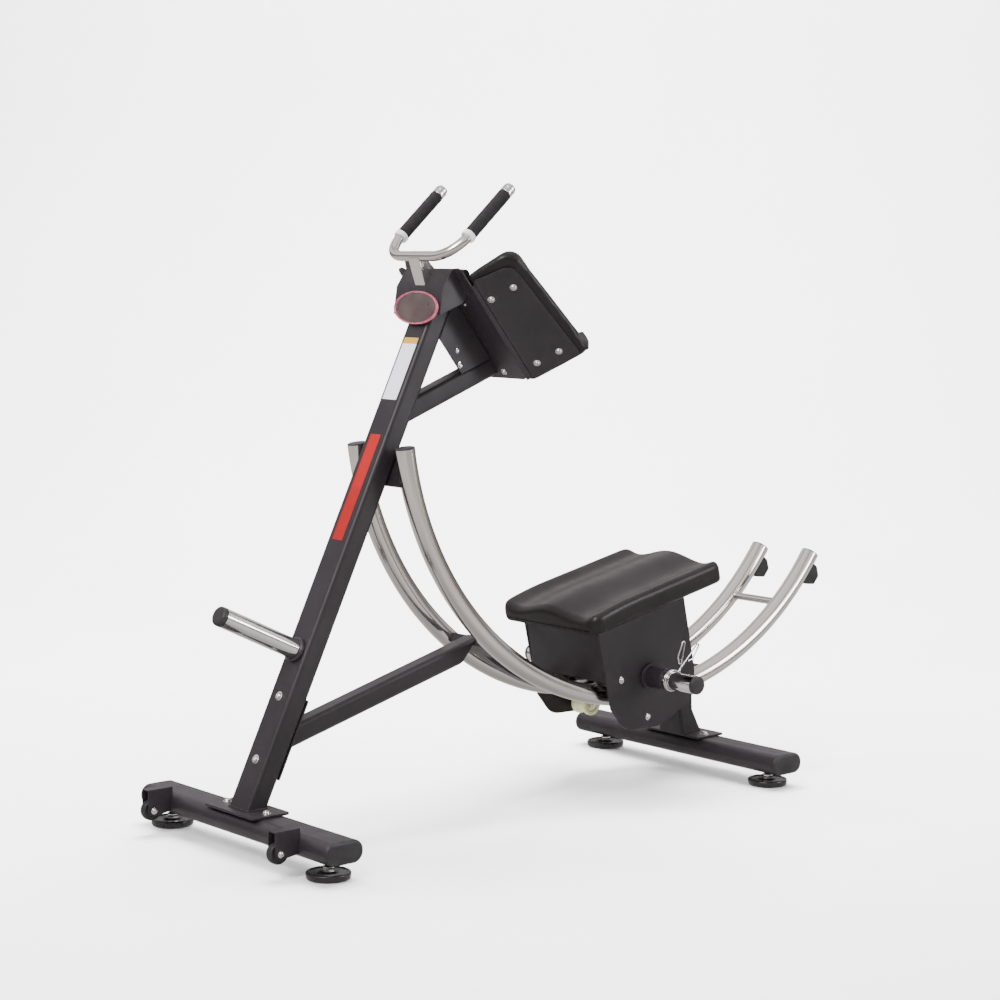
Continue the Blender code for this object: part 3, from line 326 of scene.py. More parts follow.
def loft(rings, closed_path=False, caps=True):
    """A skin through closed rings, with texture coordinates in metres round and along it."""
    builder = bmesh.new()
    layer = builder.loops.layers.uv.new("UVMap")
    rows = [[builder.verts.new(p) for p in ring] for ring in rings]
    count = len(rows[0])
    around = [0.0]
    for i in range(count):
        around.append(around[-1] + (rings[0][(i + 1) % count] - rings[0][i]).length)
    along = [0.0]
    for first, second in zip(rings, rings[1:]):
        along.append(along[-1] + (second[0] - first[0]).length)
    pairs = list(zip(range(len(rows)), range(1, len(rows))))
    if closed_path:
        pairs.append((len(rows) - 1, 0))
    for a, b in pairs:
        for i in range(count):
            j = (i + 1) % count
            face = builder.faces.new((rows[a][i], rows[a][j], rows[b][j], rows[b][i]))
            for loop, uv in zip(face.loops, ((around[i], along[a]), (around[i + 1], along[a]),
                                             (around[i + 1], along[b]), (around[i], along[b]))):
                loop[layer].uv = uv
    if caps and not closed_path:
        builder.faces.new(rows[0])
        builder.faces.new(rows[-1])
    return builder


def turned(profile, origin, axis, sides=64, closed_path=False):
    """A turned piece; the profile lists (radius, distance along the axis)."""
    axis = Vector(axis).normalized()
    place = frame_at(origin, axis, (1, 0, 0) if abs(axis.x) < 0.9 else (0, 0, 1))
    rings = []
    for radius, distance in profile:
        centre = (place[0] + place[3] * distance, *place[1:])
        rings.append(ring_at(circle(radius, sides), centre))
    return loft(rings, closed_path)


def softened(profile, radius, steps=4):
    """A profile with its corners rounded; the first and last points stay."""
    points = [Vector(profile[0])]
    for before, here, after in zip(profile, profile[1:], profile[2:]):
        before, here, after = Vector(before), Vector(here), Vector(after)
        reach = min(radius, (before - here).length * 0.45, (after - here).length * 0.45)
        start = here + (before - here).normalized() * reach
        end = here + (after - here).normalized() * reach
        for step in range(steps + 1):
            t = step / steps
            points.append(start * (1 - t) ** 2 + here * 2 * t * (1 - t) + end * t ** 2)
    points.append(Vector(profile[-1]))
    return [tuple(p) for p in points]


# -------- pieces
def show(name, data):
    """Put a mesh, lamp or camera into the scene as an object."""
    made = bpy.data.objects.new(name, data)
    bpy.context.scene.collection.objects.link(made)
    return made


def as_mesh(name, builder):
    """Turn a bmesh into a mesh and let the bmesh go."""
    mesh = bpy.data.meshes.new(name)
    builder.to_mesh(mesh)
    builder.free()
    return mesh


def piece(name, builder, finish, body="frame", replaces=(), sharp=40.0):
    """Turn a filled bmesh into a piece that rides on a CAD body."""
    bmesh.ops.recalc_face_normals(builder, faces=builder.faces)
    material, slot = finish
    mesh = as_mesh(name, builder)
    mesh.materials.append(material)
    mesh.shade_smooth()
    mesh.set_sharp_from_angle(angle=radians(sharp))
    made = show(name, mesh)
    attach(made, body)
    if replaces:
        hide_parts(*replaces)
    return made


def soften_edges(target, width):
    """Bevel a kept node's sharp edges, with its flat faces still shading flat."""
    bevel = target.modifiers.new("soft_edges", "BEVEL")
    bevel.width = width
    bevel.segments = 2
    bevel.limit_method = "ANGLE"
    bevel.angle_limit = radians(32)
    normals = target.modifiers.new("flat_faces_shade_flat", "WEIGHTED_NORMAL")
    normals.mode = "FACE_AREA"
    normals.weight = 100


def dress(node, finish, width=0.0008):
    """Keep a CAD node: join its facets, soften its edges and give it a finish."""
    target = NODES[node]
    target.data.materials.clear()
    target.data.materials.append(finish[0])
    for polygon in target.data.polygons:
        polygon.use_smooth = True
        polygon.material_index = 0
    target.modifiers.new("weld", "WELD").merge_threshold = 0.00002
    flat = target.modifiers.new("flat_faces", "DECIMATE")
    flat.decimate_type = "DISSOLVE"
    flat.angle_limit = radians(1.0)
    soften_edges(target, width)


def dome_bolt(name, centre, normal, radius, body="frame"):
    """A button-head bolt with a socket, on a washer."""
    washer = 0.0012
    head = [(1.0, 0.0), (1.0, 0.22), (0.86, 0.50), (0.56, 0.66), (0.44, 0.68), (0.42, 0.30),
            (0.02, 0.30)]
    profile = [(radius * 1.40, 0.0), (radius * 1.40, washer)]
    profile += [(radius * out, washer + radius * up) for out, up in head]
    piece(name, turned(softened(profile, radius * 0.12, 2), centre, normal, 32), CHROME, body)


def weld_bead(name, points, radius, closed=False):
    """A painted weld: a low rippled bead along a line of points."""
    count = len(points)
    dense = []
    for i in range(count if closed else count - 1):
        start, end = points[i], points[(i + 1) % count]
        steps = max(2, int((end - start).length / 0.0016))
        dense += [start + (end - start) * (t / steps) for t in range(steps)]
    if not closed:
        dense.append(points[-1])
    total = len(dense)
    rings = []
    for i, point in enumerate(dense):
        before = dense[i - 1] if closed or i else point
        after = dense[(i + 1) % total] if closed or i < total - 1 else point
        ripple = radius * (0.90 + 0.10 * cos(i * 2.1))
        rings.append(ring_at(circle(ripple, 10), frame_at(point, after - before, (0.3, 0.7, 0.65))))
    piece(name, loft(rings, closed), PAINT, sharp=80.0)


def hex_nut(name, centre, normal, across_flats, height, body):
    """A chamfered hexagon nut with the end of its stud."""
    place = frame_at(centre, normal, (1, 0, 0) if abs(Vector(normal).x) < 0.9 else (0, 0, 1))
    corner = across_flats / sqrt(3)
    rings = []
    for share, level in ((1.0, 0.0), (1.0, height * 0.86), (0.90, height), (0.42, height),
                         (0.42, height * 1.35), (0.36, height * 1.45)):
        section = circle(corner * share, 6)
        rings.append(ring_at(section, (place[0] + place[3] * level, *place[1:])))
    piece(name, loft(rings), CHROME, body, sharp=25.0)


# -------- base
def base_caps():
    """Moulded plugs with a crowned face in the ends of both base tubes."""
    for end, x in (("front", FRONT_X), ("rear", REAR_X)):
        z = middle(f"{end}_base_tube").z
        width, height = size(f"{end}_base_tube").x, size(f"{end}_base_tube").z
        tube_end = size(f"{end}_base_tube").y / 2
        for side, word in SIDES:
            node = f"{end}_base_cap_{word}"
            outer = max(abs(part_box(node)[0].y), abs(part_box(node)[1].y))
            depth = outer - tube_end
            rings = []
            for inset, level in ((0.0050, -0.012), (0.0050, 0.0002), (0.0, 0.0003),
                                 (0.0, depth * 0.45), (0.0007, depth * 0.70),
                                 (0.0024, depth * 0.88), (0.0050, depth * 0.97),
                                 (0.0090, depth)):
                corner = height / 2 - 0.0008 - inset
                section = rounded_rectangle(width - 2 * inset, height - 2 * inset, corner, 12)
                rings.append([Vector((x + a, side * (tube_end + level), z + b))
                              for a, b in section])
            piece(f"{node}_moulding", loft(rings), PLASTIC, "frame", [node])


def feet():
    """Rubber disc, lock nut and threaded stem of each levelling foot."""
    for end in ("front", "rear"):
        for _, word in SIDES:
            node = f"foot_{end}_{word}"
            centre = middle(node)
            centre.z = 0.0
            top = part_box(node)[1].z
            radius = size(node).x / 2
            disc = [(radius * 0.02, 0.0), (radius * 0.94, 0.0), (radius * 0.985, 0.0030),
                    (radius, 0.0130), (radius * 0.975, 0.0158), (radius * 0.86, 0.0168),
                    (radius * 0.82, 0.0140), (radius * 0.50, 0.0150), (radius * 0.34, 0.0185),
                    (radius * 0.02, 0.0188)]
            piece(f"{node}_disc", turned(softened(disc, 0.0012), centre, UP, 72), FOOT_RUBBER,
                  node, [node])
            hex_nut(f"{node}_nut", centre + UP * 0.0188, UP, 0.024, 0.0095, node)
            thread = []
            pitch, root, crest = 0.0018, 0.0072, 0.0084
            level = 0.0185
            while level < top - pitch:
                thread += [(root, level), (crest, level + pitch * 0.5)]
                level += pitch
            thread.append((root, top))
            piece(f"{node}_stem", turned(thread, centre, UP, 32), BLACK_STEEL, node, sharp=80.0)


def transport_wheels():
    """A rubber tyre on a plastic hub, and the axle's bolt heads on the bracket."""
    for _, word in SIDES:
        node = f"transport_wheel_{word}"
        centre = middle(node)
        radius = size(node).z / 2
        half = size(node).y / 2
        tyre = [(radius * 0.44, -half * 0.80), (radius * 0.80, -half * 0.86), (radius * 0.90, -half),
                (radius, -half * 0.62), (radius, half * 0.62), (radius * 0.90, half),
                (radius * 0.80, half * 0.86), (radius * 0.44, half * 0.80)]
        piece(f"{node}_tyre", turned(softened(tyre, 0.0018), centre, ACROSS, 56, True), RUBBER,
              node, [node])
        hub = [(0.0035, -half * 0.98), (radius * 0.40, -half * 0.98), (radius * 0.43, -half * 0.6),
               (radius * 0.43, half * 0.6), (radius * 0.40, half * 0.98), (0.0035, half * 0.98)]
        piece(f"{node}_hub", turned(softened(hub, 0.001), centre, ACROSS, 40, True), PLASTIC, node)
        bracket_half = size(f"wheel_bracket_{word}").y / 2
        for way, end in SIDES:
            dome_bolt(f"wheel_bolt_{word}_{end}",
                      centre + ACROSS * (way * bracket_half), ACROSS * way, 0.0062)


# -------- rails
def on_arc(angle, radius, y=0.0):
    return ARC_CENTRE + Vector((radius * sin(angle), y, -radius * cos(angle)))


def arc_tangent(angle):
    return Vector((cos(angle), 0.0, sin(angle)))


def rails():
    """The two curved tubes, their end plugs and the round bar between their rear ends."""
    stations, sides = 160, 56
    first, last = RAIL_ENDS
    section = circle(RAIL_RADIUS, sides)
    for side, word in SIDES:
        y = side * RAIL_GAUGE
        rings = []
        for i in range(stations + 1):
            angle = first + (last - first) * i / stations
            place = frame_at(on_arc(angle, ARC_RADIUS, y), arc_tangent(angle), ACROSS)
            rings.append(ring_at(section, place))
        piece(f"rail_{word}_tube", loft(rings), STAINLESS, "frame", [f"rail_{word}"])
        for end, angle, outward in (("front", first, -1), ("rear", last, 1)):
            dome = [(RAIL_RADIUS * 0.985, 0.0002), (RAIL_RADIUS, 0.0008),
                    (RAIL_RADIUS * 0.99, 0.0022), (RAIL_RADIUS * 0.93, 0.0031),
                    (RAIL_RADIUS * 0.82, 0.0033), (RAIL_RADIUS * 0.78, 0.0026),
                    (RAIL_RADIUS * 0.70, 0.0024), (RAIL_RADIUS * 0.02, 0.0030)]
            piece(f"rail_{end}_plug_{word}",
                  turned(dome, on_arc(angle, ARC_RADIUS, y), arc_tangent(angle) * outward, 56),
                  PLASTIC, "frame", [f"rail_{end}_cap_{word}"])
    bar = middle("rail_crossbar")
    half = size("rail_crossbar").y / 2
    radius = size("rail_crossbar").x / 2
    weld = radius * 1.22
    profile = [(weld * 1.1, -half + 0.0004), (radius, -half + 0.005), (radius, half - 0.005),
               (weld * 1.1, half - 0.0004)]
    piece("rail_crossbar_tube", turned(softened(profile, 0.003), bar, ACROSS, 40), STAINLESS,
          "frame", ["rail_crossbar"])


# -------- handles
def handlebar():
    """The bent tube with its foam grips, collars and end caps."""
    bend_steps = 24
    stations = [(-HANDLE_HALF_WIDTH, GRIP_RANGE[1], 90.0), (-HANDLE_HALF_WIDTH, 0.15, 90.0),
                (-HANDLE_HALF_WIDTH, HANDLE_BEND, 90.0)]
    inner = HANDLE_HALF_WIDTH - HANDLE_BEND
    for step in range(1, bend_steps + 1):
        turn = 90.0 * step / bend_steps
        stations.append((-inner - HANDLE_BEND * cos(radians(turn)),
                         HANDLE_BEND - HANDLE_BEND * sin(radians(turn)), 90.0 - turn))
    stations += [(-y, v, -turn) for y, v, turn in reversed(stations)]
    normal = ACROSS.cross(HANDLE_RISE)
    section = circle(HANDLE_RADIUS, 48)
    rings = []
    for y, v, turn in stations:
        point = HANDLE_LOW + ACROSS * y + HANDLE_RISE * v
        along = ACROSS * cos(radians(turn)) - HANDLE_RISE * sin(radians(turn))
        rings.append(ring_at(section, frame_at(point, along, normal)))
    piece("handlebar_tube", loft(rings), STAINLESS, "frame", ["handlebar"])
    low, high = GRIP_RANGE
    for side, word in SIDES:
        root = HANDLE_LOW + ACROSS * (side * HANDLE_HALF_WIDTH)
        grip = [(0.0128, low + 0.0005), (0.0155, low + 0.0005), (0.0164, low + 0.004),
                (0.0164, high - 0.003), (0.0155, high - 0.0005), (0.0128, high - 0.0005)]
        piece(f"handle_grip_{word}_foam", turned(softened(grip, 0.0012), root, HANDLE_RISE, 48, True),
              FOAM, "frame", [f"handle_grip_{word}"])
        collar = [(0.0127, low - 0.013), (0.0170, low - 0.013), (0.0180, low - 0.011),
                  (0.0180, low - 0.002), (0.0172, low), (0.0127, low)]
        piece(f"handle_collar_{word}", turned(softened(collar, 0.001), root, HANDLE_RISE, 48, True),
              COLLAR)
        cap = [(0.0155, high + 0.0003), (0.0160, high + 0.002), (0.0160, high + 0.010),
               (0.0150, high + 0.0108), (0.0150, high + 0.0128), (0.0160, high + 0.0136),
               (0.0158, high + 0.020), (0.0130, HANDLE_END - 0.0018), (0.0080, HANDLE_END - 0.0002),
               (0.0003, HANDLE_END)]
        piece(f"handle_end_{word}", turned(softened(cap, 0.0010), root, HANDLE_RISE, 48), CHROME,
              "frame", [f"handle_end_cap_{word}"])


# -------- horns
def storage_horn():
    """The plate bar on the upright's front."""
    root = FRONT_FACE + UP_ALONG * ((0.4605 - FRONT_FACE.z) / UP_ALONG.z) - UP_BACK * 0.0003
    length = 0.2445
    cap = 0.014
    bar = [(HORN_RADIUS * 0.9, 0.004), (HORN_RADIUS, 0.006), (HORN_RADIUS, length - cap)]
    piece("storage_horn_bar", turned(bar, root, -UP_BACK, 72), CHROME, "frame", ["storage_horn"])
    collar = [(0.0245, 0.0002), (0.0300, 0.0002), (0.0310, 0.0015), (0.0310, 0.0060),
              (0.0298, 0.0078), (0.0262, 0.0100), (0.0245, 0.0102)]
    piece("storage_horn_collar", turned(softened(collar, 0.001), root, -UP_BACK, 72, True), PAINT)
    horn_cap("storage_horn_end", root - UP_BACK * (length - cap), -UP_BACK, cap, "frame",
             "storage_horn_cap")


def horn_cap(name, start, axis, depth, body, node):
    """The plastic end of a plate bar."""
    profile = [(HORN_RADIUS * 0.94, 0.0003), (HORN_RADIUS, 0.0010), (HORN_RADIUS, depth * 0.55),
               (HORN_RADIUS * 0.97, depth * 0.80), (HORN_RADIUS * 0.86, depth * 0.97),
               (HORN_RADIUS * 0.60, depth), (0.0003, depth)]
    piece(name, turned(softened(profile, 0.0015), start, axis, 72), PLASTIC, body, [node])


def carriage_horn():
    """The plate bar through the carriage, with its stepped collars and ends."""
    axis = middle("carriage_horn_bar")
    half = size("carriage_horn_bar").y / 2
    face = max(abs(v.y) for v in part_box("carriage_side_left")) + 0.0003
    sleeve = 0.214
    bar = [(HORN_RADIUS, -half), (HORN_RADIUS, half)]
    piece("carriage_horn_tube", turned(bar, axis, ACROSS, 72), CHROME, "carriage",
          ["carriage_horn_bar"])
    for side, word in SIDES:
        collar = [(0.0243, face), (0.0330, face), (0.0340, face + 0.0010), (0.0340, face + 0.0070),
                  (0.0330, face + 0.0080), (0.0285, face + 0.0085), (0.0280, face + 0.0110),
                  (0.0280, sleeve - 0.0015), (0.0270, sleeve), (0.0243, sleeve)]
        piece(f"carriage_horn_collar_{word}",
              turned(softened(collar, 0.0008), axis, ACROSS * side, 72, True), PAINT, "carriage")
        node = f"carriage_horn_cap_{word}"
        start = axis + ACROSS * (side * half)
        horn_cap(f"{node}_moulding", start, ACROSS * side, size(node).y, "carriage", node)


def clip_handle(root, slope, length, outward):
    """A bent loop of the clip's wire, from its root: out, round the tip and back."""
    tip_radius = 0.004
    direction = Vector((cos(slope), 0.0, sin(slope)))
    across = Vector((-sin(slope), 0.0, cos(slope))) * outward
    centre = root + direction * (length - tip_radius) + across * tip_radius
    points = []
    for step in range(13):
        angle = pi * step / 12
        points.append(centre + (direction * sin(angle) - across * cos(angle)) * tip_radius)
    for share, aside in ((0.61, 0.0158), (0.59, 0.0158), (0.44, 0.007)):
        points.append(root + direction * (length * share) + across * aside)
    return points


def spring_clips():
    """A coil of wire round the horn with a bent handle at either end."""
    wire, start_y, pitch, turns = 0.0021, 0.2260, 0.0055, 1.81
    slopes, lengths = (radians(76.8), radians(43.1)), (0.105, 0.098)
    coil_radius = HORN_RADIUS + wire + 0.0008
    axis = middle("carriage_horn_bar")
    first = slopes[0] - pi / 2
    steps = 110
    for side, word in SIDES:
        coil = []
        for i in range(steps + 1):
            angle = first - 2 * pi * turns * i / steps
            y = start_y + pitch * turns * i / steps
            coil.append(axis + Vector((coil_radius * cos(angle), side * y,
                                       coil_radius * sin(angle))))
        start_loop = clip_handle(coil[0], slopes[0], lengths[0], 1)
        path = start_loop[::-1] + coil + clip_handle(coil[-1], slopes[1], lengths[1], -1)
        rings = []
        for i, point in enumerate(path):
            before = path[max(i - 1, 0)]
            after = path[min(i + 1, len(path) - 1)]
            rings.append(ring_at(circle(wire, 16), frame_at(point, after - before, ACROSS)))
        node = f"spring_clip_{word}"
        piece(f"{node}_wire", loft(rings), CHROME, node, [node], 60.0)


# -------- rollers
def rollers():
    """Waisted rollers that fit the rails, on axles through the carriage's side plates."""
    groove = RAIL_RADIUS + 0.0016
    recess, bore = 0.004, 0.0060
    for side, word in SIDES:
        for kind in ("upper_front", "upper_rear", "lower"):
            node = f"roller_{kind}_{word}"
            centre = Vector(JOINTS[f"{node}_spin"]["pos_m"])
            radius = size(node).x / 2
            half = size(node).y / 2
            offset = abs((centre - Vector((ARC_CENTRE.x, centre.y, ARC_CENTRE.z))).length
                         - ARC_RADIUS)
            lip = sqrt(groove ** 2 - (offset - radius) ** 2)
            profile = [(bore, -half + recess), (radius * 0.62, -half + recess),
                       (radius * 0.70, -half), (radius, -half), (radius, -lip)]
            steps = 16
            for i in range(1, steps):
                across = -lip + 2 * lip * i / steps
                profile.append((offset - sqrt(groove ** 2 - across ** 2), across))
            profile += [(radius, lip), (radius, half), (radius * 0.70, half),
                        (radius * 0.62, half - recess), (bore, half - recess)]
            # the lower rollers take the cream; the upper rollers take its darker copy, which is
            # painted shade
            piece(f"{node}_tread", turned(softened(profile, 0.0012, 2), centre, ACROSS, 64, True),
                  CREAM if kind == "lower" else SHADED_CREAM, node, [node])
            inner = centre - ACROSS * (side * (half - recess))
            hex_nut(f"{node}_nut", inner, ACROSS * -side, 0.017, 0.007, "carriage")
            plate = max(abs(v.y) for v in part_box(f"carriage_side_{word}"))
            reach = plate - 0.005 - (abs(centre.y) - half + recess)
            axle = [(0.0055, 0.0), (0.0055, reach)]
            piece(f"{node}_axle", turned(axle, inner, ACROSS * side, 24), CHROME, "carriage")
            dome_bolt(f"{node}_bolt", Vector((centre.x, side * plate, centre.z)), ACROSS * side,
                      0.0066, "carriage")


# -------- knee pad
PAD_TILT = radians(12.4)
PAD_ALONG = Vector((cos(PAD_TILT), 0.0, sin(PAD_TILT)))
PAD_UP = Vector((-sin(PAD_TILT), 0.0, cos(PAD_TILT)))
PAD_FRONT = Vector((FRONT_X + 0.975, 0.0, 0.4386))
PAD_LIP, PAD_TROUGH, PAD_RIDGE = 0.0600, 0.0470, 0.0690


def pad_wave(share):
    """Height of the knee pad's top at a share of its half width."""
    trough_at = 0.67
    if share < trough_at:
        return PAD_TROUGH + (PAD_RIDGE - PAD_TROUGH) * (0.5 + 0.5 * cos(pi * share / trough_at))
    return PAD_TROUGH + (PAD_LIP - PAD_TROUGH) * (0.5 - 0.5 * cos(pi * (share - trough_at) / 0.33))


def knee_pad():
    """One moulded cushion: two knee troughs, a middle ridge and soft rounded rims."""
    half_width = size("knee_pad").y / 2
    start, length = -0.030, 0.476
    edge, corner, under = 0.020, 0.034, 0.010
    ends = 14
    distances = [edge * (1 - cos(pi / 2 * i / ends)) for i in range(ends + 1)]
    distances += [edge + (corner - edge) * (i + 1) / 5 for i in range(5)]
    stations = distances + [corner + (length - 2 * corner) * i / 40 for i in range(1, 40)]
    stations += [length - d for d in reversed(distances)]
    rings = []
    for along in stations:
        near_end = min(along, length - along)
        drop = edge - sqrt(max(edge ** 2 - max(edge - near_end, 0.0) ** 2, 0.0))
        pull = corner - sqrt(max(corner ** 2 - max(corner - near_end, 0.0) ** 2, 0.0))
        half = half_width - pull * 0.8
        thin = 1.0 - 0.20 * max(0.0, 1.0 - along / 0.16) ** 2
        origin = PAD_FRONT + PAD_ALONG * (start + along) + PAD_UP * 0.0003
        section = []
        for i in range(25):
            section.append((-half + under + 2 * (half - under) * i / 24, 0.0))
        for i in range(1, 5):
            angle = pi / 2 * i / 5
            section.append((half - under + under * sin(angle), under - under * cos(angle)))
        rim = pad_wave(1.0) * thin - drop
        section += [(half, under + (rim - edge - under) * i / 3) for i in range(4)]
        for i in range(1, 8):
            angle = pi / 2 * i / 8
            y = half - edge + edge * cos(angle)
            share = abs(y) / half_width
            section.append((y, pad_wave(share) * thin - drop - edge + edge * sin(angle)))
        for i in range(61):
            y = (half - edge) * (1 - 2 * i / 60)
            section.append((y, pad_wave(abs(y) / half_width) * thin - drop))
        section += [(-y, z) for y, z in section[25:25 + 4 + 4 + 7]][::-1]
        rings.append([origin + ACROSS * y + PAD_UP * max(z, 0.0) for y, z in section])
    pad = piece("knee_cushion", loft(rings), VINYL, "carriage", ["knee_pad"], 70.0)


# -------- elbow rest
ELBOW_ALONG = Vector((0.658, -0.058, -0.751)).normalized()
ELBOW_INWARD = Vector((-0.470, 0.748, -0.469)).normalized()
ELBOW_POINT = Vector((FRONT_X + 0.6612, -0.1877, 1.3174))
ELBOW_SHEET = 0.004


def elbow_place(side):
    """The change from an elbow plate's own directions to space, on either side."""
    normal = ELBOW_ALONG.cross(ELBOW_INWARD).normalized()

    def to_space(along, inward, level):
        point = ELBOW_POINT + ELBOW_ALONG * along + ELBOW_INWARD * inward + normal * level
        return Vector((point.x, point.y * -side, point.z))

    return to_space


def elbow_outline(grow, hand_end, bulge):
    """The cushion's outline; the bulge pushes out its outer side only."""
    outer = grow + bulge
    corners = [(-hand_end - grow, 0.079 + grow), (-hand_end - outer, -0.026 - outer),
               (0.243 + grow, -0.041 - outer), (0.243 + grow, 0.099 + grow)]
    return rounded_polygon(corners, [0.012, 0.036, 0.014, 0.012], 10)


def blown(builder, held, pressure, most):
    """A closed skin, evenly remeshed and blown up as cloth except where it is held."""
    last_frame, voxel = 20, 0.005
    bmesh.ops.recalc_face_normals(builder, faces=builder.faces)
    skin = show("skin", as_mesh("skin", builder))
    even = skin.modifiers.new("even", "REMESH")
    even.mode = "VOXEL"
    even.voxel_size = voxel
    graph = bpy.context.evaluated_depsgraph_get()
    remeshed = bpy.data.meshes.new_from_object(skin.evaluated_get(graph))
    skin.modifiers.clear()
    skin.data = remeshed
    rest = [vertex.co.copy() for vertex in remeshed.vertices]
    group = skin.vertex_groups.new(name="held")
    group.add([i for i, point in enumerate(rest) if held(point)], 1.0, "REPLACE")
    cloth = skin.modifiers.new("cloth", "CLOTH")
    cloth.settings.use_pressure = True
    cloth.settings.uniform_pressure_force = pressure
    cloth.settings.vertex_group_mass = group.name
    cloth.settings.effector_weights.gravity = 0.0
    cloth.point_cache.frame_start = 1
    cloth.point_cache.frame_end = last_frame
    for step in range(1, last_frame + 1):
        bpy.context.scene.frame_set(step)
    graph = bpy.context.evaluated_depsgraph_get()
    soft = bpy.data.meshes.new_from_object(skin.evaluated_get(graph))
    for vertex, start in zip(soft.vertices, rest):
        move = vertex.co - start
        if move.length > most:
            vertex.co = start + move * (most / move.length)
    bpy.data.objects.remove(skin)
    bpy.context.scene.frame_set(1)
    result = bmesh.new()
    result.from_mesh(soft)
    for _ in range(4):
        bmesh.ops.smooth_vert(result, verts=result.verts, factor=0.5, use_axis_x=True,
                              use_axis_y=True, use_axis_z=True)
    return result


def elbow_cushion(word, place, low, high):
    """The crowned cushion: a tucked-in edge, bulging sides and a domed top."""
    levels = [(0.003, 0.072, low, 0.0), (0.0075, 0.071, low + 0.0025, 0.002),
              (0.0105, 0.068, low + 0.008, 0.009)]
    round_height, round_in, outer_bulge, held_depth = 0.020, 0.017, 0.015, 0.007
    shoulder = high - 0.0025
    steps = 9
    for i in range(steps + 1):
        angle = pi / 2 * i / steps
        levels.append((0.0110 - round_in * (1 - cos(angle)), 0.060 - 0.013 * i / steps,
                       shoulder - round_height * (1 - sin(angle)), outer_bulge))
    for inset, rise in ((0.012, 0.0010), (0.020, 0.0017), (0.030, 0.0022), (0.042, 0.0025)):
        levels.append((-inset, 0.046, shoulder + rise, outer_bulge))
    rings = []
    for grow, hand_end, level, bulge in levels:
        outline = elbow_outline(grow, hand_end, bulge)
        rings.append([place(a, b, level) for a, b in outline])
    builder = loft(rings)
    base = place(0.0, 0.0, low)
    outward = (place(0.0, 0.0, high) - base).normalized()
    builder = blown(builder, lambda point: (point - base).dot(outward) < held_depth, 4.0,
                    0.005)
    cushion = piece(f"elbow_cushion_{word}", builder, VINYL, "frame", [f"elbow_pad_{word}"], 180.0)
    cushion.modifiers.new("smooth_skin", "SUBSURF").render_levels = 1


def elbow_stop(word, place, high):
    """The padded roll that stops the elbow at the cushion's lower end."""
    count = 16
    rings = []
    for i in range(count + 1):
        b = -0.059 + 0.167 * i / count
        end = min(i, count - i) / 2.0
        swell = 1.0 if end >= 1 else 0.80 + 0.20 * end
        top = high + 0.022 * swell
        outline = rounded_polygon([(0.232 - 0.012 * swell, high - 0.024), (0.2545, high - 0.034),
                                   (0.2560, top), (0.230 - 0.014 * swell, top)],
                                  [0.005, 0.005, 0.014, 0.016], 6)
        rings.append([place(a, b, c) for a, c in outline])
    bolster = piece(f"elbow_stop_{word}", loft(rings), VINYL, sharp=70.0)


def elbow_rests():
    """Both cushions with their stops, the plates' bolts and the folds to the middle sheet."""
    low = ELBOW_SHEET + 0.0003
    high = low + 0.049
    row_ends, row_gap = (0.0, 0.2095), 0.0635
    for side, word in SIDES:
        place = elbow_place(side)
        elbow_cushion(word, place, low, high)
        elbow_stop(word, place, high)
        for i, along in enumerate(row_ends):
            for j, inward in enumerate((0.0, row_gap)):
                centre = place(along, inward, 0.0)
                outward = place(along, inward, -1.0) - centre
                dome_bolt(f"elbow_bolt_{word}_{2 * i + j + 1}", centre, outward, 0.0064)
        elbow_fold(word, side, place)


def elbow_fold(word, side, place):
    """The bent strip that joins the middle sheet's edge to an elbow plate's inner edge."""
    origin = Vector((FRONT_X, 0.0, 0.0)) + SHEET_NORMAL * SHEET_LEVEL
    start, end, count = -0.056, 0.238, 30
    rings = []
    for i in range(count + 1):
        a = start + (end - start) * i / count
        inward = 0.0755 + 0.020 * (a + 0.066) / 0.309
        low = place(a, inward + 0.0008, 0.0)
        high = place(a, inward + 0.0008, ELBOW_SHEET)
        distance = (low - origin).dot(SHEET_ALONG)
        near_low = origin + SHEET_ALONG * distance + ACROSS * (side * 0.1243)
        near_high = near_low + SHEET_NORMAL * ELBOW_SHEET
        middle_low = (low + near_low) / 2 - SHEET_NORMAL * 0.0006
        rings.append([low, high, (high + near_high) / 2, near_high, near_low, middle_low])
    piece(f"elbow_fold_{word}", loft(rings), PAINT, sharp=50.0)


# -------- fastenings and labels
def flat_label(name, finish, low, high, half_width, corner):
    """A thin label on the upright's front face between two distances up the upright."""
    centre = FRONT_FACE + UP_ALONG * ((low + high) / 2)
    section = rounded_rectangle(2 * half_width, high - low, corner, 8)
    builder = bmesh.new()
    layer = builder.loops.layers.uv.new("UVMap")
    rows = []
    for lift in (0.0001, 0.0005):
        rows.append([builder.verts.new(centre + ACROSS * a + UP_ALONG * b - UP_BACK * lift)
                     for a, b in section])
    count = len(section)
    faces = [builder.faces.new(rows[0]), builder.faces.new(rows[1])]
    for i in range(count):
        j = (i + 1) % count
        faces.append(builder.faces.new((rows[0][i], rows[0][j], rows[1][j], rows[1][i])))
    for face in faces:
        for loop in face.loops:
            offset = loop.vert.co - centre
            loop[layer].uv = (offset.y / (2 * half_width) + 0.5,
                              offset.dot(UP_ALONG) / (high - low) + 0.5)
    piece(name, builder, finish)


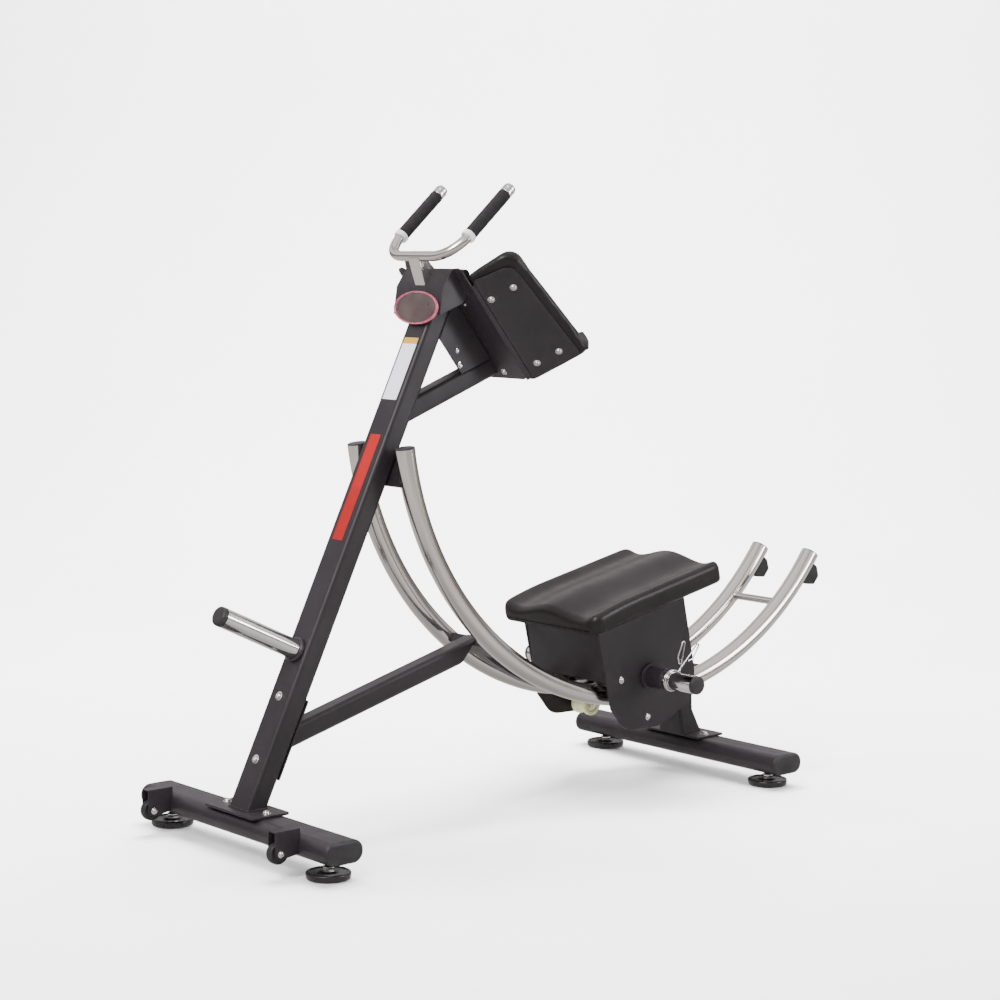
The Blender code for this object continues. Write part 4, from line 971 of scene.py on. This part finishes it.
def upright_details():
    """The bolts and labels on the upright, and the bolts of both base plates."""
    large_bolt = 0.0085
    for name, up_distance in (("high", 0.256), ("low", 0.098)):
        dome_bolt(f"upright_bolt_{name}", FRONT_FACE + UP_ALONG * up_distance, -UP_BACK, large_bolt)
    flat_label("upright_label", LABEL, 1.022, 1.186, 0.027, 0.002)
    flat_label("upright_stripe", STRIPE, 0.655, 0.930, 0.020, 0.0015)
    plate_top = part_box("upright_base_plate")[1].z
    pedestal_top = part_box("rear_pedestal")[0].z + 0.005
    for side, word in SIDES:
        for name, x, z in (("upright_plate", FRONT_X, plate_top), ("pedestal", REAR_X, pedestal_top)):
            dome_bolt(f"{name}_bolt_{word}", Vector((x, side * 0.080, z)), UP, large_bolt)


def small_bolts():
    """The fastenings under the elbow sheet and on the gusset."""
    gusset_y = -size("elbow_spine").y / 2
    spots = [("sheet_high", (0.6145, -0.0600, 1.2747), -SHEET_NORMAL, 0.0046),
             ("sheet_low", (0.7470, -0.0539, 1.1056), -SHEET_NORMAL, 0.0064),
             ("gusset_high", (0.6108, gusset_y, 1.1606), -ACROSS, 0.0046),
             ("gusset_low", (0.6192, gusset_y, 1.1251), -ACROSS, 0.0058)]
    for name, spot, normal, radius in spots:
        dome_bolt(f"bolt_{name}", Vector(spot) + Vector((FRONT_X, 0.0, 0.0)), normal, radius)


def welds():
    """The beads where the tubes meet, and round the head in its sheet."""
    bead = 0.0028
    sheet = Vector((FRONT_X, 0.0, 0.0)) + SHEET_NORMAL * (SHEET_LEVEL + ELBOW_SHEET / 2)
    notch, half, side_end = -0.6430, 0.0925, -0.690
    path = [sheet + SHEET_ALONG * a + ACROSS * b
            for a, b in ((side_end, -half), (notch, -half), (notch, half), (side_end, half))]
    weld_bead("head_weld", path, 0.0040)
    plate_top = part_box("upright_base_plate")[1].z + 0.0006
    outline = rounded_rectangle(UPRIGHT_DEPTH / cos(LEAN), UPRIGHT_WIDTH, 0.010, 4)
    centre_x = UPRIGHT_LOW.x + (plate_top - UPRIGHT_LOW.z) * UP_ALONG.x / UP_ALONG.z
    weld_bead("upright_weld", [Vector((centre_x + a, b, plate_top)) for a, b in outline], bead,
              closed=True)
    width, half_height = 0.050, 0.025
    for name, x, z, slope, clear in (("upper", 0.4870, 1.0225, radians(21.1), 0.0008),
                                     ("lower", 0.4400, 0.3460, radians(15.3), 0.0056)):
        start = Vector((FRONT_X + x, 0.0, z))
        run = Vector((cos(slope), 0.0, sin(slope)))
        reach = (REAR_FACE - start).dot(UP_BACK) / run.dot(UP_BACK)
        root = start + run * (reach + clear)
        tall = half_height / run.cross(ACROSS).dot(UP_ALONG)
        outline = rounded_rectangle(width, 2 * abs(tall), 0.009, 4)
        weld_bead(f"{name}_strut_weld", [root + ACROSS * a + UP_ALONG * b for a, b in outline],
                  bead, closed=True)


def head_badge():
    """A plain oval medallion on the head's front."""
    lean = Vector((0.010, 0.0, 0.068)).normalized()
    out = Vector((-lean.z, 0.0, lean.x))
    centre = Vector((FRONT_X + 0.5125, 0.0, 1.2665))
    half_width, half_height, sides = 0.086, 0.041, 96
    rim = ((0.96, 0.0004), (1.0, 0.0015), (1.0, 0.0050), (0.985, 0.0064), (0.955, 0.0068),
           (0.93, 0.0062), (0.915, 0.0046), (0.88, 0.0042))
    face = ((0.90, 0.0038), (0.90, 0.0045), (0.60, 0.0060), (0.30, 0.0070), (0.02, 0.0074))
    for name, levels, finish in (("rim", rim, BADGE_RIM),
                                       ("face", face, BADGE_FACE)):
        rings = []
        for share, lift in levels:
            rings.append([centre + out * lift + ACROSS * (half_width * share * x)
                          + lean * (half_height * share * y) for x, y in circle(1.0, sides)])
        piece(f"head_badge_{name}", loft(rings), finish)


# -------- carried-over CAD nodes
def dress_steel():
    """Finish the steel nodes that are kept as they are, and the rubber stops."""
    painted = ["front_base_tube", "rear_base_tube", "upright_base_plate", "upright",
               "head_housing", "upper_strut", "lower_strut", "elbow_spine", "elbow_bracket",
               "rail_ladder", "rear_pedestal", "rail_front_bracket", "carriage_body"]
    for _, word in SIDES:
        painted += [f"wheel_bracket_{word}", f"elbow_plate_{word}", f"carriage_side_{word}"]
        dress(f"rail_stop_{word}", RUBBER, 0.003)
    for node in painted:
        dress(node, PAINT)
    dress("handle_stem", STAINLESS, 0.0006)


# -------- stage
def stage():
    """A pale floor that curves up into a backdrop, soft lights and the camera."""
    yaw, pitch, roll = 0.7049, -0.1064, 0.0026
    focal_pixels, image_width, sensor = 2327.6, 1000.0, 36.0
    camera_data = bpy.data.cameras.new("camera")
    camera_data.sensor_width = sensor
    camera_data.lens = focal_pixels / image_width * sensor
    camera_data.clip_end = 60.0
    camera = show("camera", camera_data)
    turn = Matrix.Rotation(-yaw, 4, "Z") @ Matrix.Rotation(pi / 2 + pitch, 4, "X")
    camera.matrix_world = (Matrix.Translation((FRONT_X - 3.0253, -4.473, 1.4039)) @ turn
                           @ Matrix.Rotation(roll, 4, "Z"))
    bpy.context.scene.camera = camera

    n = Nodes("pale_floor")
    n.finish(n.blend(n.remap(n.noise(0.8, 3.0), 0, 1), (0.86, 0.86, 0.865), (0.90, 0.90, 0.90)),
             n.remap(n.noise(3.0, 3.0), 0.55, 0.68))
    forward = Vector((sin(yaw), cos(yaw), 0.0))
    sideways = Vector((cos(yaw), -sin(yaw), 0.0))
    wall, bend, height, half_width = 5.5, 2.5, 9.0, 14.0
    profile = [(-9.0, 0.0), (wall - bend, 0.0)]
    for i in range(1, 17):
        angle = pi / 2 * i / 16
        profile.append((wall - bend + bend * sin(angle), bend - bend * cos(angle)))
    profile.append((wall, height))
    builder = bmesh.new()
    rows = []
    for distance, z in profile:
        rows.append([builder.verts.new(forward * distance + sideways * s + UP * (z - 0.0003))
                     for s in (-half_width, half_width)])
    for first, second in zip(rows, rows[1:]):
        builder.faces.new((first[0], first[1], second[1], second[0]))
    mesh = as_mesh("floor", builder)
    mesh.materials.append(n.material)
    mesh.shade_smooth()
    floor = show("floor", mesh)
    floor.visible_glossy = False        # shiny parts reflect the studio's soft gradient

    def softbox(name, position, target, width, height_m, power, colour=(1, 1, 1), shine=True):
        data = bpy.data.lights.new(name, "AREA")
        data.shape = "RECTANGLE"
        data.size = width
        data.size_y = height_m
        data.energy = power
        data.color = colour
        lamp = show(name, data)
        lamp.location = position
        lamp.visible_glossy = shine
        beam = Vector(target) - Vector(position)
        lamp.rotation_euler = beam.to_track_quat("-Z", "Y").to_euler()

    softbox("key", (-3.6, -1.2, 3.8), (0, 0, 0.6), 2.0, 2.0, 230, (1.0, 0.985, 0.97))
    softbox("top", (0.6, 0.4, 4.8), (0.2, 0.2, 0.0), 4.0, 3.0, 640, shine=False)
    softbox("side", (2.8, -4.2, 2.0), (0.3, 0, 0.5), 1.2, 2.4, 110, (0.98, 0.985, 1.0))
    softbox("back", (-1.6, 4.2, 3.8), (0, 0, 0.6), 3.4, 1.4, 280, shine=False)
    softbox("wash", (2.2, 1.4, 6.4), forward * wall + UP * 1.4, 6.0, 2.5, 1550, shine=False)

    world = bpy.data.worlds.new("studio")
    world.use_nodes = True
    bpy.context.scene.world = world
    tree = world.node_tree
    place = tree.nodes.new("ShaderNodeTexCoord")
    parts = tree.nodes.new("ShaderNodeSeparateXYZ")
    ramp = tree.nodes.new("ShaderNodeValToRGB")
    span = tree.nodes.new("ShaderNodeMapRange")
    span.inputs["From Min"].default_value = -1.0
    tree.links.new(place.outputs["Generated"], parts.inputs["Vector"])
    tree.links.new(parts.outputs["Z"], span.inputs["Value"])
    tree.links.new(span.outputs["Result"], ramp.inputs["Fac"])
    tree.links.new(ramp.outputs["Color"], tree.nodes["Background"].inputs["Color"])
    ramp.color_ramp.elements[0].color = (0.42, 0.41, 0.40, 1)
    ramp.color_ramp.elements[1].color = (1.0, 1.0, 1.0, 1)
    for position, colour in ((0.30, (0.85, 0.83, 0.81, 1)), (0.42, (0.66, 0.64, 0.62, 1)),
                             (0.48, (0.24, 0.215, 0.20, 1)), (0.57, (0.15, 0.135, 0.13, 1)),
                             (0.65, (1.0, 0.99, 0.98, 1)), (0.80, (1.0, 1.0, 1.0, 1)),
                             (0.85, (0.30, 0.27, 0.26, 1)), (0.90, (1.0, 1.0, 1.0, 1))):
        ramp.color_ramp.elements.new(position).color = colour
    tree.nodes["Background"].inputs["Strength"].default_value = 1.0


# -------- everything
dress_steel()
base_caps()
feet()
transport_wheels()
rails()
handlebar()
storage_horn()
carriage_horn()
spring_clips()
rollers()
knee_pad()
elbow_rests()
upright_details()
small_bolts()
welds()
head_badge()
stage()
